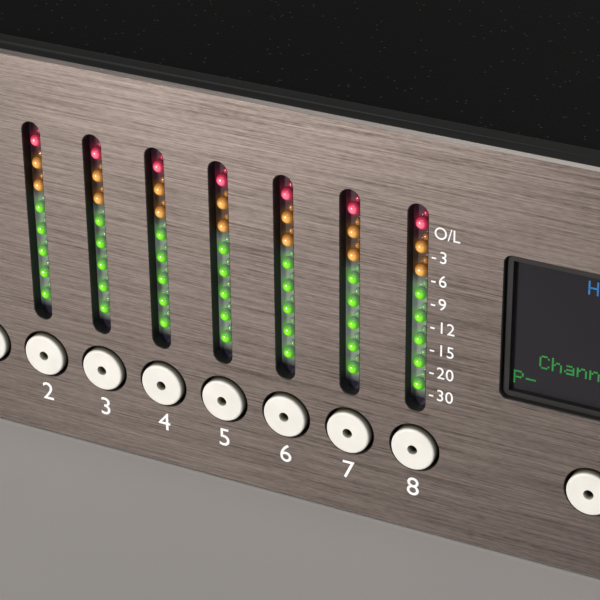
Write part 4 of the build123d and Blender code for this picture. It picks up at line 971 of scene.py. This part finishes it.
class FinishRear(bpy.types.Operator):
    """Connectors, mains inlet and switch of the rear"""

    bl_idname = "rack_unit.finish_rear"
    bl_label = "Rear connectors"

    def execute(self, context):
        shell = worn_metal("xlr_shell_black", (0.03, 0.03, 0.031), 0.38, grain=0.0005, metallic=0.7)
        finish_nodes(shell, "xlr_shells")
        finish_nodes(moulded("xlr_insert_black", (0.014, 0.014, 0.015), 0.5), "xlr_inserts")
        finish_nodes(
            worn_metal("latch_nickel", (0.52, 0.50, 0.47), 0.3, grain=0.0005),
            *[f"xlr_latch_{n}" for n in range(1, CHANNELS + 1)],
        )
        self.finish_multipins()
        finish_nodes(worn_metal("clock_nickel", (0.60, 0.58, 0.55), 0.2), "clock_sockets")
        finish_nodes(worn_metal("data_shield", (0.50, 0.50, 0.50), 0.3, grain=0.0008), "data_sockets")
        finish_nodes(moulded("inlet_black", (0.014, 0.014, 0.014), 0.42), "mains_inlet", "mains_switch_frame")
        finish_nodes(worn_metal("pins_nickel", (0.62, 0.60, 0.56), 0.22), "inlet_pins")
        finish_nodes(moulded("rocker_black", (0.018, 0.018, 0.018), 0.3), "mains_rocker")
        gold = worn_metal("contact_gold", (0.80, 0.55, 0.20), 0.25, grain=0.0004)
        self.add_sleeves(gold)
        self.add_network_wires(gold)
        return {"FINISHED"}

    def finish_multipins(self):
        """Tinned shells round black insulators."""
        finish = worn_metal("multipin_tin", (0.48, 0.48, 0.47), 0.3, grain=0.0006)
        x, y, z = finish.split(finish.place)
        low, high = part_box("multipin_sockets")
        centre = (low + high) / 2
        half_width, half_height, flange = 0.0182, 0.0033, 0.0012
        across = abs(x - centre.x) < half_width
        up = abs(abs(z - centre.z) - MULTIPIN_LEVEL_GAP / 2) < half_height
        side_x, side_y, side_z = finish.split(finish.facing)
        core = across * up * (y > REAR_FACE + flange) * (side_y > 0.5).either(y < high.y - 0.0003)
        pores = finish.noise(0.0003, detail=3, seed=4.0)
        black = finish.blend(pores, (0.012, 0.012, 0.013), (0.022, 0.022, 0.023))
        finish.cover(core, black, 0.5)
        finish_nodes(finish, "multipin_sockets")

    def add_sleeves(self, gold):
        """Gilt sleeves in the contact holes of the eight inputs."""
        low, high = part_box("xlr_inserts")
        radius = (high.z - low.z) / 2
        first, last = low.x + radius, high.x - radius
        carrier = bpy.data.meshes.new("contact_places")
        places = []
        for number in range(CHANNELS):
            x = first + (last - first) * number / (CHANNELS - 1)
            for angle in (-90, 30, 150):
                turn = math.radians(angle)
                across, up = XLR_CONTACT_CIRCLE * math.cos(turn), XLR_CONTACT_CIRCLE * math.sin(turn)
                places.append((x + across, high.y, (low.z + high.z) / 2 + up))
        carrier.from_pydata(places, [], [])
        outer, inner, mouth, length = 0.00115, 0.00082, -0.0004, 0.004
        round_off, funnel = 0.0001, 0.0002
        profile = [
            (outer, -length), (outer, mouth - funnel), (outer - round_off, mouth), (inner + round_off, mouth),
            (inner, mouth - funnel), (inner, -length), (outer, -length),
        ]
        template = lathe("contact_sleeve", profile, 20)
        template.transform(FACING_REAR)
        mesh = made_by_nodes("contact_sleeves", points_tree(), template, gold, carrier=carrier)
        new_piece("input_contact_sleeves", mesh, gold)

    def add_network_wires(self, gold):
        """Eight sprung wires in each network socket."""
        width, length, thickness, slope = 0.00045, 0.0066, 0.0003, math.radians(-9)
        behind_face, under_roof = 0.0062, 0.0009
        wire = block("contact_wire", (width, length, thickness), 0.0001)
        wire.transform(Matrix.Rotation(slope, 4, "X"))
        pieces = bmesh.new()
        for mouth in frame["record"]["physics"]["openings"]:
            if not mouth["name"].startswith("network"):
                continue
            low, high = (Vector(corner) for corner in mouth["box_m"])
            left = (low.x + high.x) / 2 - (NETWORK_WIRES - 1) / 2 * NETWORK_WIRE_PITCH
            mesh = made_by_nodes(
                "network_wires", grid_tree(), wire.copy(), gold,
                Start=(left, high.y - behind_face, high.z - under_roof), Columns=NETWORK_WIRES, Rows=1,
                **{"Column Step": (NETWORK_WIRE_PITCH, 0.0, 0.0), "Row Step": (0.0, 0.0, NETWORK_WIRE_PITCH)},
            )
            pieces.from_mesh(mesh)
        mesh = bpy.data.meshes.new("network_contact_wires")
        pieces.to_mesh(mesh)
        pieces.free()
        new_piece("network_contact_wires", mesh, gold)


class PrintRear(bpy.types.Operator):
    """Input numbers on the rear, and the numbers of the instrument jacks on the front"""

    bl_idname = "rack_unit.print_rear"
    bl_label = "Other print"

    def execute(self, context):
        look = context.scene.rack_panel
        ink = Finish("marks_ink", Roughness=0.5)
        specks = ink.noise(0.0002, detail=3)
        ink.set(
            Base_Color=ink.blend(ink.range(specks, 0.3, 0.6), dimmed(look.ink, 0.75), look.ink),
            Roughness=0.5 + (specks - 0.5) * 0.3,
        )
        shells_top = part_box("xlr_shells")[1].z
        rear_height, jack_label_drop = 0.0022, 0.0108
        labels = []
        for number in range(1, CHANNELS + 1):
            place = (middle(f"xlr_latch_{number}").x, REAR_FACE + PRINT_LIFT, shells_top + rear_height)
            labels.append((str(number), place, rear_height, None, 0.5))
        printed("rear_print", labels, FACING_REAR, ink)
        first_jack_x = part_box("jack_sockets")[0].x + JACK_BODY / 2
        under_jacks_z = middle("encoder_knob").z - jack_label_drop
        labels = []
        for number in range(JACKS):
            place = (first_jack_x + number * JACK_SPACING, PANEL_FACE - PRINT_LIFT, under_jacks_z)
            labels.append((str(number + 1), place, look.numeral_height, None, 0.5))
        printed("jack_print", labels, FACING_FRONT, ink)
        return {"FINISHED"}


class FinishInside(bpy.types.Operator):
    """Boards, transformer and the parts soldered to the boards"""

    bl_idname = "rack_unit.finish_inside"
    bl_label = "Inner parts"

    def execute(self, context):
        resist = board_mask("board_green", (0.006, 0.055, 0.028), (0.014, 0.11, 0.05), (0.55, 0.50, 0.40))
        finish_nodes(resist, "main_board", "power_supply_board", "display_module")
        finish_nodes(worn_metal("pillar_brass", (0.62, 0.45, 0.20), 0.3), "board_pillars")
        finish_nodes(moulded("header_black", (0.018, 0.018, 0.018), 0.5), "board_headers")
        finish_nodes(moulded("relay_cream", (0.70, 0.68, 0.60), 0.35), "preamp_relays")
        finish_nodes(moulded("chip_epoxy", (0.016, 0.016, 0.017), 0.55, texture=0.00012), "circuit_chips")
        cans = Finish("capacitor_sleeve", Coat_Weight=0.4, Coat_Roughness=0.1)
        across, along, up = cans.split(cans.facing)
        lid = up > 0.9
        mottle = cans.noise(0.002, detail=2)
        sleeve = cans.blend(mottle, (0.012, 0.014, 0.03), (0.03, 0.034, 0.06))
        cans.set(
            Base_Color=cans.blend(lid, sleeve, (0.6, 0.6, 0.6)),
            Metallic=lid,
            Roughness=0.32 + (mottle - 0.5) * 0.2,
        )
        finish_nodes(cans, "capacitors")
        ribbon = Finish("ribbon_grey")
        wires = ribbon.add(
            "ShaderNodeTexWave", {"wave_type": "BANDS", "bands_direction": "X"},
            {"Vector": ribbon.place, "Scale": 125.0, "Distortion": 0.0},
        )
        ribbon.set(
            Base_Color=ribbon.blend(wires, (0.22, 0.22, 0.225), (0.40, 0.40, 0.41)),
            Roughness=0.45 + (wires - 0.5) * 0.1,
            Normal=ribbon.bump(wires, 0.6, 0.0003),
        )
        finish_nodes(ribbon, "ribbon_cable")
        tape = Finish("winding_tape", Coat_Weight=0.5, Coat_Roughness=0.15)
        hub = middle("mains_transformer")
        x, y, z = tape.split(tape.place)
        turn = tape.sum_of("ARCTAN2", y - hub.y, x - hub.x)
        wraps = tape.sum_of("PINGPONG", turn * 12.0, 1.0)
        mottle = tape.noise(0.004, detail=3)
        tape.set(
            Base_Color=tape.blend(wraps * 0.7 + mottle * 0.3, (0.55, 0.28, 0.03), (0.80, 0.50, 0.08)),
            Roughness=0.3 + (mottle - 0.5) * 0.2,
            Normal=tape.bump(wraps, 0.5, 0.0004),
        )
        finish_nodes(tape, "mains_transformer")
        finish_nodes(worn_metal("clamp_zinc", (0.45, 0.45, 0.43), 0.35, grain=0.001), "transformer_clamp")
        return {"FINISHED"}


class SetStage(bpy.types.Operator):
    """Pale floor, soft lights and the camera"""

    bl_idname = "rack_unit.set_stage"
    bl_label = "Stage"

    def execute(self, context):
        look = context.scene.rack_stage
        self.floor()
        self.world(context)
        aim = Vector((CAP_PLACES[-1].x - look.aim_left, PANEL_FACE, TOP_LAMP_Z - look.aim_below))
        back = Vector((
            math.sin(look.azimuth) * math.cos(look.elevation),
            -math.cos(look.azimuth) * math.cos(look.elevation),
            math.sin(look.elevation),
        ))
        lens = bpy.data.cameras.new("camera")
        lens.lens = look.lens
        lens.sensor_width = 36
        lens.clip_start = 0.01
        lens.clip_end = 50
        camera = bpy.data.objects.new("camera", lens)
        context.scene.collection.objects.link(camera)
        turn = back.to_track_quat("Z", "Y").to_matrix() @ Matrix.Rotation(-look.roll, 3, "Z")
        camera.matrix_world = Matrix.Translation(aim + back * look.distance) @ turn.to_4x4()
        context.scene.camera = camera
        centre = Vector((0, PANEL_FACE, PANEL_HIGH.z / 2))
        behind = Vector((0, REAR_FACE, 0.02))
        warm, neutral, cool = (1.0, 0.93, 0.885), (1.0, 0.98, 0.96), (0.95, 0.97, 1.0)
        self.light("key", aim, (-0.42, -0.90, 0.12), (0.16, 0.20), 11.5, warm)
        self.light("fill", aim, (0.70, -0.70, 0.20), (0.5, 0.4), 1.5, cool)
        self.light("overhead", centre, (0.1, -0.7, 1.2), (1.4, 0.6), 4.5, neutral)
        self.light("rear", behind, (0.95, 1.4, 0.80), (1.0, 0.8), 34.0, neutral)
        context.scene.view_settings.view_transform = "Standard"
        return {"FINISHED"}

    def floor(self):
        """A pale seamless sheet under the unit."""
        sheet = bmesh.new()
        bmesh.ops.create_grid(sheet, x_segments=40, y_segments=40, size=4.0)
        bmesh.ops.translate(sheet, vec=(0, 0, -0.0002), verts=sheet.verts)
        mesh = bpy.data.meshes.new("floor")
        sheet.to_mesh(mesh)
        sheet.free()
        finish = Finish("floor_paper")
        mottle = finish.noise(0.05, detail=3)
        finish.set(
            Base_Color=finish.blend(mottle, (0.50, 0.49, 0.48), (0.54, 0.53, 0.52)),
            Roughness=0.75 + (mottle - 0.5) * 0.1,
        )
        mesh.materials.append(finish.material)
        floor = bpy.data.objects.new("floor", mesh)
        bpy.context.scene.collection.objects.link(floor)

    def world(self, context):
        """Even pale light from all round."""
        world = bpy.data.worlds.new("studio")
        world.use_nodes = True
        background = world.node_tree.nodes["Background"]
        background.inputs["Color"].default_value = (0.80, 0.79, 0.78, 1)
        background.inputs["Strength"].default_value = 0.16
        context.scene.world = world

    def light(self, name, aim, offset, size, power, colour):
        """A soft rectangular light at an offset from its aim, and turned towards it."""
        offset = Vector(offset)
        lamp = bpy.data.lights.new(name, "AREA")
        lamp.shape = "RECTANGLE"
        lamp.size, lamp.size_y = size
        lamp.energy = power
        lamp.color = colour
        holder = bpy.data.objects.new(name, lamp)
        bpy.context.scene.collection.objects.link(holder)
        holder.location = aim + offset
        holder.rotation_euler = offset.to_track_quat("Z", "Y").to_euler()


OPERATORS = (
    FinishPanel, PrintPanel, LightMeters, FinishButtons, LightDisplay, FinishCase, FinishControls, FinishRear,
    PrintRear, FinishInside, SetStage,
)


class UnitPanel(bpy.types.Panel):
    """The steps that dress the unit, and their settings"""

    bl_idname = "RACK_UNIT_PT_steps"
    bl_label = "Rack unit"
    bl_space_type = "VIEW_3D"
    bl_region_type = "UI"
    bl_category = "Rack unit"

    def draw(self, context):
        for operator in OPERATORS:
            self.layout.operator(operator.bl_idname)
        for group, settings in SETTINGS.items():
            box = self.layout.box()
            for name in settings.__annotations__:
                box.prop(getattr(context.scene, group), name)


SETTINGS = {
    "rack_panel": PanelSettings, "rack_meters": MeterSettings, "rack_display": DisplaySettings,
    "rack_stage": StageSettings,
}


def register():
    """Adds the settings, the operators and the panel."""
    for group, settings in SETTINGS.items():
        bpy.utils.register_class(settings)
        setattr(bpy.types.Scene, group, bpy.props.PointerProperty(type=settings))
    for part in (*OPERATORS, UnitPanel):
        bpy.utils.register_class(part)


def unregister():
    """Takes them out again."""
    for part in (UnitPanel, *OPERATORS):
        bpy.utils.unregister_class(part)
    for group, settings in SETTINGS.items():
        delattr(bpy.types.Scene, group)
        bpy.utils.unregister_class(settings)


def main():
    """Dresses the whole unit."""
    register()
    for operator in OPERATORS:
        group, name = operator.bl_idname.split(".")
        getattr(getattr(bpy.ops, group), name)()


if __name__ == "__main__":
    main()
